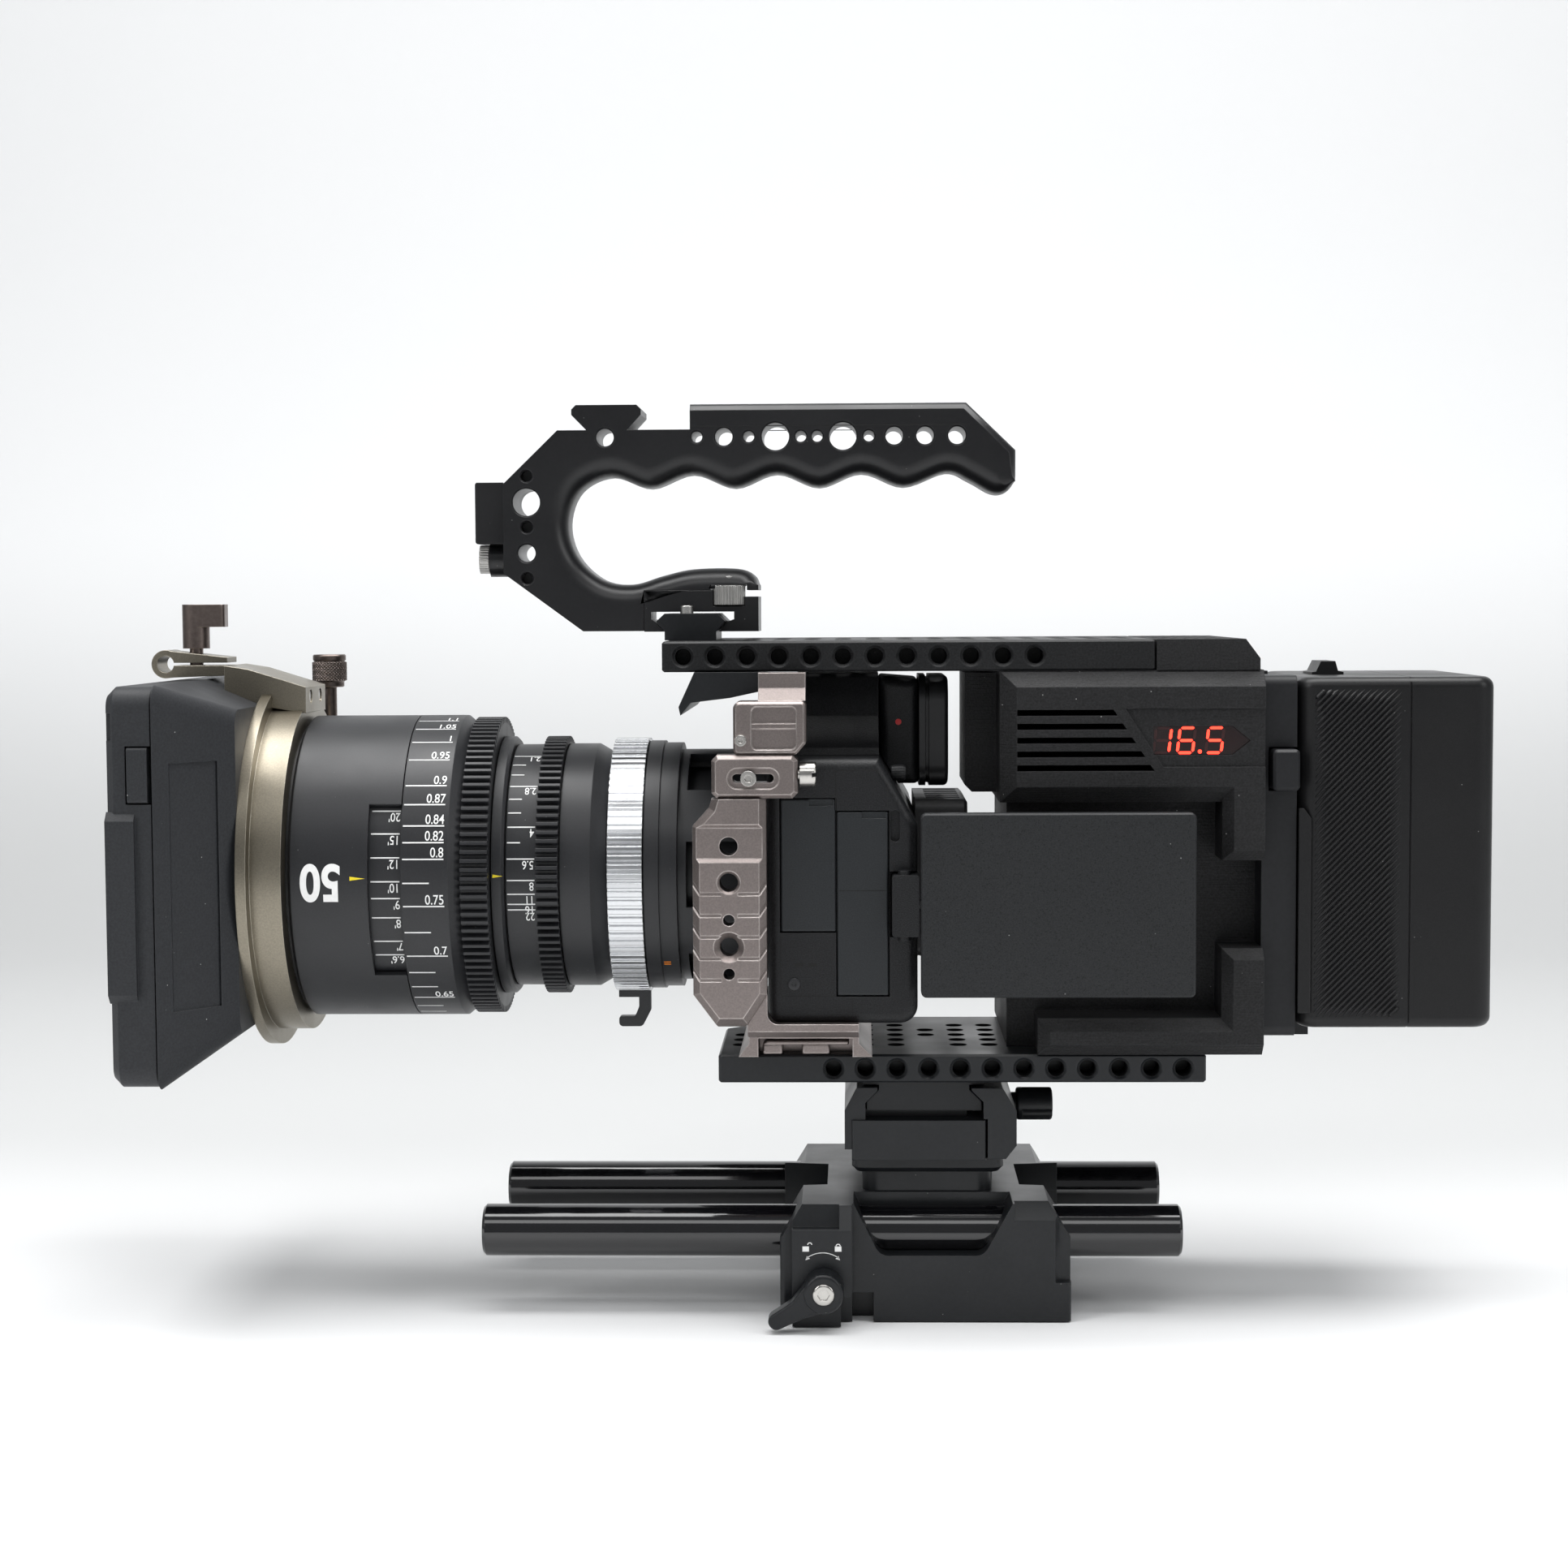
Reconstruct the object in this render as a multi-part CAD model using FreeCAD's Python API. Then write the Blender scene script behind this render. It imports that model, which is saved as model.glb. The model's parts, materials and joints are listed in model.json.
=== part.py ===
import FreeCAD, Part
import math
import os

V = FreeCAD.Vector

# A cinema camera rig on 15 mm rods, in millimetres.
# Origin: centre of the rod base's underside, at the mouth of its tripod thread.
# +X runs from the lens back to the battery, -Y is the camera's left side, +Z is up.

# Rod support
ROD_R = 7.5
ROD_Y = 30.0
ROD_Z = 23.5
ROD_X = (-128.0, 74.0)
BORE_GAP = 0.05
BASE_X = 41.6
BASE_Y = 43.0
BASE_TOP = 34.0
CLAMP_BLOCK_X = (-38.0, -21.0)
CLAMP_FACE_Y = -49.0
LEVER_AT = (-29.0, 11.3)
TRIPOD_R = 4.0
ROD_THREAD_R = 5.25
ROD_THREAD_DEPTH = 15.0

# Quick release
STAGE_Z = (34.0, 40.3, 44.7)
CLAMP_FLOOR = 58.5
CLAMP_WALL_TOP = 56.3
CLAMP_LIP_TOP = 65.7
CLAMP_Y = 34.0
JAW_SPLIT = 17.8
PLATE_HALF = 16.6
QR_SCREW_Z = 55.0
QR_SCREW_R = 2.2

# Drilled plates
HOLE_PITCH = 9.05
HOLE_R = 2.55
COUNTERSINK_R = 3.2
SIDE_HOLE_DEPTH = 10.0
LOWER_PLATE_X = (-59.0, 80.0)
LOWER_PLATE_Y = (-40.0, 31.0)
LOWER_PLATE_Z = (68.4, 76.5)
LOWER_HOLES_FROM = -26.1
UPPER_PLATE_X = (-74.3, 65.2)
UPPER_PLATE_Y = 40.0
UPPER_PLATE_Z = (185.8, 194.5)
UPPER_HOLES_FROM = -68.3
HOLES_IN_ROW = 12

# Lens, on an axis along X
AXIS_Y = 0.0
AXIS_Z = 127.5
CORE_R = 34.4
RING_BORE = 34.45
FRONT_R = 44.8
FOCUS_TEETH = 108
FOCUS_GEAR_R = 44.2
IRIS_TEETH = 94
IRIS_GEAR_R = 38.4
GEAR_MODULE = 0.8
LOCK_RIDGES = 90
LOCK_RING_R = 37.8
HUB_R = 34.0

# Camera body
BODY_X = (-44.4, -2.2)
BODY_Y = (-50.0, 79.0)
BODY_Z = (86.8, 161.7)
DOOR_DEPTH = 2.2
DOOR_GAP = 0.3
DOOR_HINGE = 0.6
FRONT_DOOR = (-40.6, -25.2, 113.0, 150.4)
REAR_DOOR = (-24.8, -10.4, 94.9, 146.8)
SCREEN_X = (-1.4, 75.0)
SCREEN_Y = (-55.5, -50.5)
SCREEN_Z = (95.0, 146.6)
SWING_AT = (-6.0, -52.0)
TILT_Z = 120.8

# Matte box
HOOD_X = (-212.0, -194.0)
HOOD_FRONT = (72.0, 71.5, 183.6)
HOOD_REAR = (50.0, 84.0, 176.0)
TRAY_X = (-225.0, -212.4)
FLANGE_R = 53.5
COLLAR_R = 49.0
LENS_LIP_R = 42.5

# Handle
HANDLE_Y = 11.0
GRIP_ROUND = 2.5
FOOT_TOP = 209.0
RAIL_Y = 16.0
PIN_AT = (-68.7, -13.7)
WHEEL_AT = (-56.5, -8.6)

# Power module and battery
MODULE_X = (21.3, 95.6)
MODULE_Y = (-44.0, 42.0)
MODULE_Z = (76.5, 185.8)
MODULE_STEP_Z = 148.5
RECESS_Y = -26.0
PLATE_X = (95.6, 105.5)
PLATE_Y = 37.0
PLATE_Z = (81.0, 184.0)
BATTERY_X = (105.8, 161.6)
BATTERY_Y = 38.0
BATTERY_Z = (83.5, 183.5)
CELL_R = 9.2
CELL_LENGTH = 65.0

AXES = {"x": V(1, 0, 0), "y": V(0, 1, 0), "z": V(0, 0, 1)}


def at(axis, along, a, b):
    """Point at a distance along an axis, with the two other coordinates in X, Y, Z order."""
    return {"x": V(along, a, b), "y": V(a, along, b), "z": V(a, b, along)}[axis]


def box(x, y, z):
    return Part.makeBox(x[1] - x[0], y[1] - y[0], z[1] - z[0], V(x[0], y[0], z[0]))


def cylinder(axis, radius, span, a, b):
    return Part.makeCylinder(radius, span[1] - span[0], at(axis, span[0], a, b), AXES[axis])


def cone(axis, radii, span, a, b):
    return Part.makeCone(radii[0], radii[1], span[1] - span[0], at(axis, span[0], a, b), AXES[axis])


def tube(axis, outer, inner, span, a, b):
    return cylinder(axis, outer, span, a, b).cut(cylinder(axis, inner, span, a, b))


def rounded_wire(axis, along, corners):
    """Closed wire through corners (a, b) or (a, b, radius), in the plane across an axis."""
    flat = [V(corner[0], corner[1], 0) for corner in corners]
    marks = []
    for i, corner in enumerate(flat):
        radius = corners[i][2] if len(corners[i]) > 2 else 0.0
        back = (flat[i - 1] - corner).normalize()
        ahead = (flat[(i + 1) % len(flat)] - corner).normalize()
        if radius == 0.0:
            marks.append((corner, None, corner))
            continue
        half = back.getAngle(ahead) / 2
        reach = radius / math.tan(half)
        inward = (back + ahead).normalize()
        middle = corner + inward * (radius / math.sin(half) - radius)
        marks.append((corner + back * reach, middle, corner + ahead * reach))
    edges = []
    for i, (enter, middle, leave) in enumerate(marks):
        if middle is not None:
            points = [at(axis, along, p.x, p.y) for p in (enter, middle, leave)]
            edges.append(Part.Arc(*points).toShape())
        following = marks[(i + 1) % len(marks)][0]
        if (following - leave).Length > 1e-6:
            ends = [at(axis, along, p.x, p.y) for p in (leave, following)]
            edges.append(Part.LineSegment(*ends).toShape())
    return Part.Wire(edges)


def prism(axis, corners, span):
    """Outline with optional corner radii, drawn across an axis and extruded along it."""
    face = Part.Face(rounded_wire(axis, span[0], corners))
    return face.extrude(AXES[axis] * (span[1] - span[0]))


def rectangle(a, b, radius=0.0):
    """Corners of a rectangle, all with the same radius."""
    if radius == 0.0:
        return [(a[0], b[0]), (a[1], b[0]), (a[1], b[1]), (a[0], b[1])]
    return [(a[0], b[0], radius), (a[1], b[0], radius), (a[1], b[1], radius), (a[0], b[1], radius)]


def slab(axis, a, b, span, radius):
    """Rectangular block with rounded edges along one axis."""
    return prism(axis, rectangle(a, b, radius), span)


def loft(wires):
    return Part.makeLoft(wires, True, True)


def pick_edges(shape, test):
    return [edge for edge in shape.Edges if test(edge.BoundBox)]


def bevel(shape, size, test):
    """Chamfer the edges whose bounding box passes a test."""
    return shape.makeChamfer(size, pick_edges(shape, test))


def soften(shape, size, test):
    """Round the edges whose bounding box passes a test."""
    return shape.makeFillet(size, pick_edges(shape, test))


def ridged_disc(axis, count, outer, depth, span, a, b, crest=0.36, root=0.30):
    """Disc with straight-sided ridges or teeth; crest and root are shares of the pitch."""
    step = 2 * math.pi / count
    profile = ((outer, -crest / 2), (outer, crest / 2), (outer - depth, 0.5 - root / 2),
               (outer - depth, 0.5 + root / 2))
    corners = []
    for i in range(count):
        for radius, share in profile:
            turn = step * (i + share)
            corners.append((a + radius * math.cos(turn), b + radius * math.sin(turn)))
    return prism(axis, corners, span)


def mirror_y(shape):
    return shape.mirror(V(0, 0, 0), V(0, 1, 0))


def join(shapes):
    return shapes[0].fuse(shapes[1:]).removeSplitter()


def save(name, shape):
    shape.exportStep("parts/" + name + ".step")


# ---------------------------------------------------------------- rod support

def rod_base():
    body = slab("z", (-BASE_X, BASE_X), (-BASE_Y, BASE_Y), (0, BASE_TOP), 1.5)
    clamp = prism("x", [(CLAMP_FACE_Y, 0), (-BASE_Y + 6, 0), (-BASE_Y + 6, BASE_TOP),
                        (-BASE_Y - 2, BASE_TOP), (CLAMP_FACE_Y, BASE_TOP - 6.5)], CLAMP_BLOCK_X)
    body = body.fuse(clamp)
    window = [(-21.0, BASE_TOP + 1), (-13.0, 19.0, 4.0), (16.6, 19.0, 4.0), (25.4, BASE_TOP + 1)]
    cuts = [prism("y", window, (-BASE_Y - 1, -ROD_Y + 3))]
    cuts.append(mirror_y(cuts[0]))
    cuts.append(box((-21.0, -14.9), (-BASE_Y - 1, -BASE_Y + 7), (-1.0, 8.4)))
    cuts.append(box((-24.2, -20.9), (CLAMP_FACE_Y - 1, -BASE_Y), (-1.0, 8.4)))
    cuts.append(prism("x", [(CLAMP_FACE_Y - 1, 28.0), (-45.5, 28.0), (-43.0, BASE_TOP + 1),
                            (CLAMP_FACE_Y - 1, BASE_TOP + 1)], (CLAMP_BLOCK_X[0] - 1, -24.6)))
    for side in (-1, 1):
        cuts.append(cylinder("x", ROD_R + BORE_GAP, (-BASE_X - 1, BASE_X + 1), side * ROD_Y, ROD_Z))
        cuts.append(cylinder("z", 7.5, (11.2, BASE_TOP + 1), BASE_X + 2.5, side * (BASE_Y + 2.5)))
        for end in (-1, 1):
            ramp = [(end * (BASE_X + 1), 22.0), (end * (BASE_X + 1), BASE_TOP + 1),
                    (end * (BASE_X - 7), BASE_TOP + 1)]
            cuts.append(prism("y", ramp, sorted((side * 14, side * 50))))
    shoulder = [(-BASE_Y - 1, BASE_TOP - 6.0), (-BASE_Y - 1, BASE_TOP + 1), (-BASE_Y + 5.0, BASE_TOP + 1)]
    cuts.append(prism("x", shoulder, (25.4, BASE_X + 1)))
    for end in (-1, 1):
        notch = [(end * 28.2, -17.0), (end * (BASE_X + 1), -19.0), (end * (BASE_X + 1), 14.0),
                 (end * 28.2, 12.0)]
        cuts.append(prism("z", notch, (14.0, BASE_TOP + 1)))
    cuts.append(cylinder("z", TRIPOD_R, (-1, 12), 0, 0))
    cuts.append(cylinder("y", 2.5 + BORE_GAP, (CLAMP_FACE_Y - 1, CLAMP_FACE_Y + 9), *LEVER_AT))
    save("rod_base", body.cut(cuts))


def rods():
    for name, side in (("rod_left", -1), ("rod_right", 1)):
        rod = cylinder("x", ROD_R, ROD_X, side * ROD_Y, ROD_Z)
        rod = bevel(rod, 0.8, lambda b: b.XLength < 0.01)
        for end, inward in ((ROD_X[0], 1), (ROD_X[1], -1)):
            span = sorted((end, end + inward * ROD_THREAD_DEPTH))
            rod = rod.cut(cylinder("x", ROD_THREAD_R, span, side * ROD_Y, ROD_Z))
        save(name, rod)


def clamp_lever():
    x, z = LEVER_AT
    hub = cylinder("y", 5.7, (-57.5, CLAMP_FACE_Y - 0.3), x, z)
    hub = soften(hub, 1.2, lambda b: b.YMax < -57.4)
    arm = prism("y", [(x - 4.5, z + 3.5, 1.0), (x + 3.0, z - 4.8, 1.0), (x - 5.5, z - 7.0, 3.0),
                      (x - 14.0, z - 10.9, 2.2), (x - 16.6, z - 7.4, 2.2), (x - 9.0, z - 2.4, 3.0)],
                (-56.8, -51.6))
    arm = soften(arm, 0.8, lambda b: b.YMax < -56.7)
    stem = cylinder("y", 2.5, (CLAMP_FACE_Y - 0.4, CLAMP_FACE_Y + 8), x, z)
    lever = join([hub, arm, stem])
    socket = cylinder("y", 3.1, (-58.0, -56.9), x, z)
    save("clamp_lever", lever.cut(socket))


# -------------------------------------------------------------- quick release

def quick_release():
    low = slab("z", (-18.0, 20.0), (-26.0, 26.0), (STAGE_Z[0], STAGE_Z[1]), 5.0)
    high = slab("z", (-21.0, 23.0), (-30.0, 30.0), (STAGE_Z[1], STAGE_Z[2]), 4.0)
    high = bevel(high, 1.4, lambda b: b.ZMax < STAGE_Z[1] + 0.01)
    save("base_pedestal", low.fuse(high))

    floor = slab("z", (-21.0, JAW_SPLIT), (-CLAMP_Y, CLAMP_Y), (STAGE_Z[2], CLAMP_WALL_TOP), 1.0)
    deck = box((-17.0, 12.5), (-27.0, 27.0), (CLAMP_WALL_TOP, CLAMP_FLOOR))
    hook = [(-23.0, STAGE_Z[2] + 3), (-20.0, STAGE_Z[2] + 3), (-PLATE_HALF - 0.4, CLAMP_WALL_TOP),
            (-PLATE_HALF - 0.4, 61.2), (-13.5, 64.8), (-13.5, CLAMP_LIP_TOP), (-19.5, CLAMP_LIP_TOP),
            (-23.0, 59.0)]
    fixed_jaw = prism("y", hook, (-CLAMP_Y + 1, CLAMP_Y - 1))
    clamp = floor.fuse([deck, fixed_jaw])
    clamp = clamp.cut(cylinder("x", QR_SCREW_R + BORE_GAP, (2.0, JAW_SPLIT + 1), 0, QR_SCREW_Z))
    save("qr_clamp_body", clamp)

    hook = [(JAW_SPLIT + 0.4, STAGE_Z[2] + 0.4), (23.4, STAGE_Z[2] + 0.4), (26.5, 49.0), (26.5, 59.0),
            (22.5, CLAMP_LIP_TOP), (13.6, CLAMP_LIP_TOP), (13.6, 65.0), (PLATE_HALF + 0.4, 61.6),
            (PLATE_HALF + 0.4, CLAMP_WALL_TOP + 0.4), (JAW_SPLIT + 0.4, CLAMP_WALL_TOP + 0.4)]
    jaw = prism("y", hook, (-CLAMP_Y, CLAMP_Y))
    jaw = jaw.cut(cylinder("x", QR_SCREW_R + BORE_GAP, (PLATE_HALF, 27.0), 0, QR_SCREW_Z))
    save("qr_jaw", jaw)

    head = cylinder("x", 4.9, (28.2, 39.0), 0, QR_SCREW_Z)
    head = soften(head, 0.8, lambda b: b.XLength < 0.01)
    for lobe in range(3):
        turn = math.radians(120 * lobe + 90)
        groove = cylinder("x", 1.7, (30.0, 40.0), 5.4 * math.cos(turn), QR_SCREW_Z + 5.4 * math.sin(turn))
        head = head.cut(groove)
    collar = cylinder("x", 3.4, (26.8, 28.2), 0, QR_SCREW_Z)
    stem = cylinder("x", QR_SCREW_R, (4.0, 26.8), 0, QR_SCREW_Z)
    save("qr_knob", join([head, collar, stem]))

    half = [(PLATE_HALF, CLAMP_FLOOR), (PLATE_HALF, 61.0), (13.1, 64.5), (13.1, 66.0), (17.5, 66.0),
            (17.5, LOWER_PLATE_Z[0])]
    outline = [(-x, z) for x, z in reversed(half)]
    plate = prism("y", half + outline, (-30.0, 30.0))
    for y in (-16.0, 16.0):
        plate = plate.cut(cylinder("z", 3.2, (CLAMP_FLOOR - 1, LOWER_PLATE_Z[0] + 1), 0, y))
    save("qr_plate", plate)


# -------------------------------------------------------------- drilled plates

def side_holes(first, z, edge, inward):
    """A row of countersunk threaded holes drilled into one edge of a plate."""
    cuts = []
    for i in range(HOLES_IN_ROW):
        x = first + i * HOLE_PITCH
        cuts.append(cylinder("y", HOLE_R, sorted((edge - inward, edge + inward * SIDE_HOLE_DEPTH)), x, z))
        mouth = sorted((edge, edge + inward * (COUNTERSINK_R - HOLE_R)))
        radii = (COUNTERSINK_R, HOLE_R) if inward > 0 else (HOLE_R, COUNTERSINK_R)
        cuts.append(cone("y", radii, mouth, x, z))
    return cuts


def grid_holes(xs, ys, z, keep):
    """Threaded holes straight through a plate, wherever a test keeps them."""
    return [cylinder("z", HOLE_R, (z[0] - 1, z[1] + 1), x, y) for x in xs for y in ys if keep(x, y)]


def lower_plate():
    x0, x1 = LOWER_PLATE_X
    y0, y1 = LOWER_PLATE_Y
    corners = [(x0, y0, 1.0), (x1, y0, 1.0), (x1, y1, 1.0), (x0 + 24, y1), (x0, y0 + 48)]
    plate = prism("z", corners, LOWER_PLATE_Z)
    plate = bevel(plate, 0.6, lambda b: b.ZLength < 0.01)
    middle = sum(LOWER_PLATE_Z) / 2
    cuts = side_holes(LOWER_HOLES_FROM, middle, y0, 1) + side_holes(LOWER_HOLES_FROM, middle, y1, -1)
    xs = [LOWER_HOLES_FROM + (i - 3) * HOLE_PITCH for i in range(HOLES_IN_ROW + 3)]
    ys = [-22.6 + i * HOLE_PITCH for i in range(5)]
    cuts += grid_holes(xs, ys, LOWER_PLATE_Z, lambda x, y: y < x + 52 and not (abs(x) < 6 and abs(y) > 10))
    screw_span = (LOWER_PLATE_Z[0] - 1, LOWER_PLATE_Z[1] - 2)
    cuts += [cylinder("z", HOLE_R, screw_span, 0, y) for y in (-16.0, 16.0)]
    save("bottom_cheese_plate", plate.cut(cuts))


def upper_plate():
    plate = slab("z", UPPER_PLATE_X, (-UPPER_PLATE_Y, UPPER_PLATE_Y), UPPER_PLATE_Z, 1.0)
    plate = bevel(plate, 0.6, lambda b: b.ZLength < 0.01)
    middle = sum(UPPER_PLATE_Z) / 2
    cuts = side_holes(UPPER_HOLES_FROM, middle, -UPPER_PLATE_Y, 1)
    cuts += side_holes(UPPER_HOLES_FROM, middle, UPPER_PLATE_Y, -1)
    xs = [UPPER_HOLES_FROM + i * HOLE_PITCH for i in range(HOLES_IN_ROW + 3)]
    ys = [(i - 2.5) * HOLE_PITCH for i in range(6)]
    cuts += grid_holes(xs, ys, UPPER_PLATE_Z, lambda x, y: not (x < -56 and abs(y) < 14))
    save("top_cheese_plate", plate.cut(cuts))


# -------------------------------------------------------------------- cage

def side_plate_blank():
    outline = [(-59.6, 151.0), (-44.4, 151.0), (-44.4, 96.1), (-50.4, 87.0), (-58.2, 87.0), (-65.0, 96.1),
               (-65.0, 143.4), (-60.4, 148.5)]
    return prism("y", outline, (-58.0, -50.3))


def cage_foot():
    """Foot with a slot for a stored key, and the arm that rises to the side plate."""
    foot = prism("y", [(-53.0, 76.5), (-15.0, 76.5), (-18.8, 80.4), (-18.8, 86.8), (-50.0, 86.8),
                       (-50.0, 80.4)], (-44.0, 26.0))
    foot = foot.cut(box((-47.4, -20.6), (-45.0, -34.0), (76.0, 81.8)))
    arm = prism("y", [(-50.0, 83.5), (-18.8, 83.5), (-18.8, 87.4), (-44.4, 87.4, 3.0), (-44.4, 100.0),
                      (-50.0, 100.0)], (-54.0, -50.3))
    arm = bevel(arm, 1.8, lambda b: b.ZMax < 83.6 and b.YMax < -53.9 and b.XLength > 10)
    bridge = box((-50.0, -18.8), (-50.4, -43.0), (83.5, 86.5))
    save("cage_base", join([foot, arm.cut(side_plate_blank()), bridge]))


def side_plate():
    """Thick side plate with a sunk band, deep bevels and cut chevrons."""
    plate = bevel(side_plate_blank(), 2.0, lambda b: b.YMax < -57.9 and b.ZMin < 150)
    deeper = plate.copy()
    deeper.translate(V(0, 0.5, 0))
    cuts = [prism("x", [(-59.0, 145.0), (-57.1, 142.9), (-57.1, 134.4), (-59.0, 132.0)], (-66.0, -43.0))]
    cuts.append(prism("x", [(-58.5, 90.1), (-58.5, 86.5), (-54.6, 86.5)], (-66.0, -43.0)))
    for z, mouth in ((137.8, 3.3), (127.7, 3.3), (109.6, 4.3)):
        cuts.append(cylinder("y", HOLE_R, (-60, -49), -54.9, z))
        cuts.append(cone("y", (mouth, HOLE_R), (-58.0, -58.0 + mouth - HOLE_R), -54.9, z))
    for z in (117.2, 102.1):
        cuts.append(cylinder("y", 1.6, (-60, -49), -54.9, z))
    for i in range(5):
        z = 124.9 - i * 6.03
        for way in (-1, 1):
            corners = [(2.3, z), (8.0, z), (11.0, z + 4.2), (11.0, z + 2.9), (8.4, z - 0.8), (2.3, z - 0.8)]
            chevron = prism("y", [(-54.7 + way * x, level) for x, level in corners], (-60.0, -52.0))
            cuts.append(chevron.cut(deeper))
    save("cage_side_plate", plate.cut(cuts))


def cage_clamps():
    block = prism("y", [(-59.5, 152.6), (-58.0, 151.1), (-37.0, 151.1), (-35.5, 152.6), (-35.5, 161.7),
                        (-37.0, 163.2), (-58.0, 163.2), (-59.5, 161.7)], (-58.2, -50.3))
    block = bevel(block, 1.1, lambda b: b.YMax < -58.1)
    recess = slab("y", (-55.1, -40.7), (153.8, 159.6), (-58.3, -56.9), 2.8)
    slot = slab("y", (-53.7, -42.2), (155.5, 157.9), (-58.3, -50.0), 1.15)
    bore = cylinder("x", 1.5 + BORE_GAP, (-41.6, -35.0), -54.3, 157.6)
    save("hdmi_clamp_block", block.cut([recess, slot, bore]))

    head = cylinder("x", 3.5, (-35.0, -30.4), -54.3, 157.6)
    head = soften(head, 0.7, lambda b: b.XMin > -30.5)
    head = head.cut(box((-31.6, -30.0), (-60.0, -48.0), (157.0, 158.2)))
    stem = cylinder("x", 1.5, (-41.0, -35.0), -54.3, 157.6)
    save("hdmi_clamp_knob", head.fuse(stem))

    block = prism("y", [(-53.4, 163.2, 1.5), (-36.0, 163.2, 1.5), (-33.2, 166.4, 1.0), (-33.2, 178.0, 1.5),
                        (-53.4, 178.0, 2.0)], (-57.6, -46.0))
    block = bevel(block, 0.7, lambda b: b.YMax < -57.5)
    window = slab("y", (-48.4, -35.9), (164.6, 176.6), (-58.0, -56.0), 1.6)
    ridge = slab("y", (-48.8, -35.5), (170.4, 171.9), (-57.0, -55.0), 0.4)
    block = join([block.cut(window), ridge])
    tab = prism("x", [(-53.0, 178.0), (-46.0, 178.0), (-42.0, 182.0), (-42.0, 185.8), (-50.5, 185.8),
                      (-50.5, 181.5)], (-46.6, -33.4))
    screw_seat = cylinder("y", 1.6, (-58.0, -52.0), -51.3, 167.2)
    save("cage_top_block", join([block, tab]).cut(screw_seat))

    brow = prism("y", [(-69.5, 176.0), (-65.0, 185.8), (-47.0, 185.8), (-47.0, 180.2), (-55.0, 178.5),
                       (-66.0, 177.2), (-69.0, 173.6)], (-42.0, 42.0))
    relief = prism("y", [(-62.0, 185.9), (-60.0, 181.5), (-51.0, 182.0), (-51.0, 185.9)], (-36.0, 36.0))
    brow = brow.cut(relief)
    save("cage_front_bracket", brow)


# ------------------------------------------------------------------- camera

def camera_body():
    x0, x1 = BODY_X
    z0, z1 = BODY_Z
    side = [(x0, z0, 4.0), (x1, z0, 5.0), (x1, 143.0, 3.0), (-7.2, 152.0), (-13.0, z1), (x0, z1, 3.0)]
    body = prism("y", side, BODY_Y)
    body = soften(body, 3.0, lambda b: b.YLength < 0.01 and b.ZLength > 40)
    hump = prism("x", [(-30.5, z1), (30.5, z1), (30.0, 163.6), (20.0, 172.4), (15.5, 184.6, 2.0),
                       (-15.5, 184.6, 2.0), (-20.0, 172.4), (-30.0, 163.6)], (-42.0, -12.8))
    hump = hump.cut(prism("y", [(-42.5, 174.0), (-42.5, 186.0), (-36.0, 186.0)], (-30.0, 30.0)))
    body = join([body, hump])
    cuts = [box((-40.0, -8.0), (-42.0, 70.0), (93.0, 141.0))]
    cuts.append(cylinder("x", 23.0, (x0 - 1, -39.0), AXIS_Y, AXIS_Z))
    for x_from, x_to, z_from, z_to in (FRONT_DOOR, REAR_DOOR):
        face = BODY_Y[0]
        cuts.append(box((x_from - DOOR_GAP, x_to + DOOR_GAP), (face - 1, face + DOOR_DEPTH + DOOR_GAP),
                        (z_from - DOOR_GAP, z_to + DOOR_GAP)))
    for x, z, width, height in ((-32.9, 141.0, 9.0, 5.0), (-32.9, 126.0, 11.0, 6.0), (-17.6, 140.0, 7.0, 7.0),
                                (-17.6, 122.0, 9.0, 4.0), (-17.6, 104.0, 8.0, 3.4)):
        cuts.append(slab("y", (x - width / 2, x + width / 2), (z - height / 2, z + height / 2),
                         (-50.0, -44.0), 1.2))
    cuts.append(box((-10.0, x1 + 1), (BODY_Y[0] - 1, -45.0), (111.4, 130.0)))
    cuts.append(slab("y", (-9.8, -7.2), (138.4, 147.2), (BODY_Y[0] - 1, BODY_Y[0] + 1.6), 1.1))
    cuts.append(cylinder("z", 4.0, (z1 - 6, z1 + 1), -24.0, 48.0))
    save("camera_body", body.cut(cuts))

    grip = prism("z", [(-44.4, 44.0), (-44.4, 79.0), (-62.0, 79.0, 9.0), (-73.0, 66.0, 9.0),
                       (-67.0, 46.5, 8.0)], (88.0, 154.0))
    grip = soften(grip, 2.5, lambda b: b.ZLength < 0.01)
    save("camera_grip", grip.cut(cylinder("z", 4.0, (150.0, 155.0), -62.0, 66.0)))

    button = cylinder("z", 3.7, (150.9, 155.6), -62.0, 66.0)
    save("shutter_button", soften(button, 0.9, lambda b: b.ZMin > 155.5))

    dial = ridged_disc("z", 40, 8.5, 0.5, (BODY_Z[1] + 0.5, BODY_Z[1] + 6.5), -24.0, 48.0)
    dial = dial.fuse(cylinder("z", 3.95, (BODY_Z[1] - 5, BODY_Z[1] + 0.5), -24.0, 48.0))
    save("mode_dial", dial)


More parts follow.
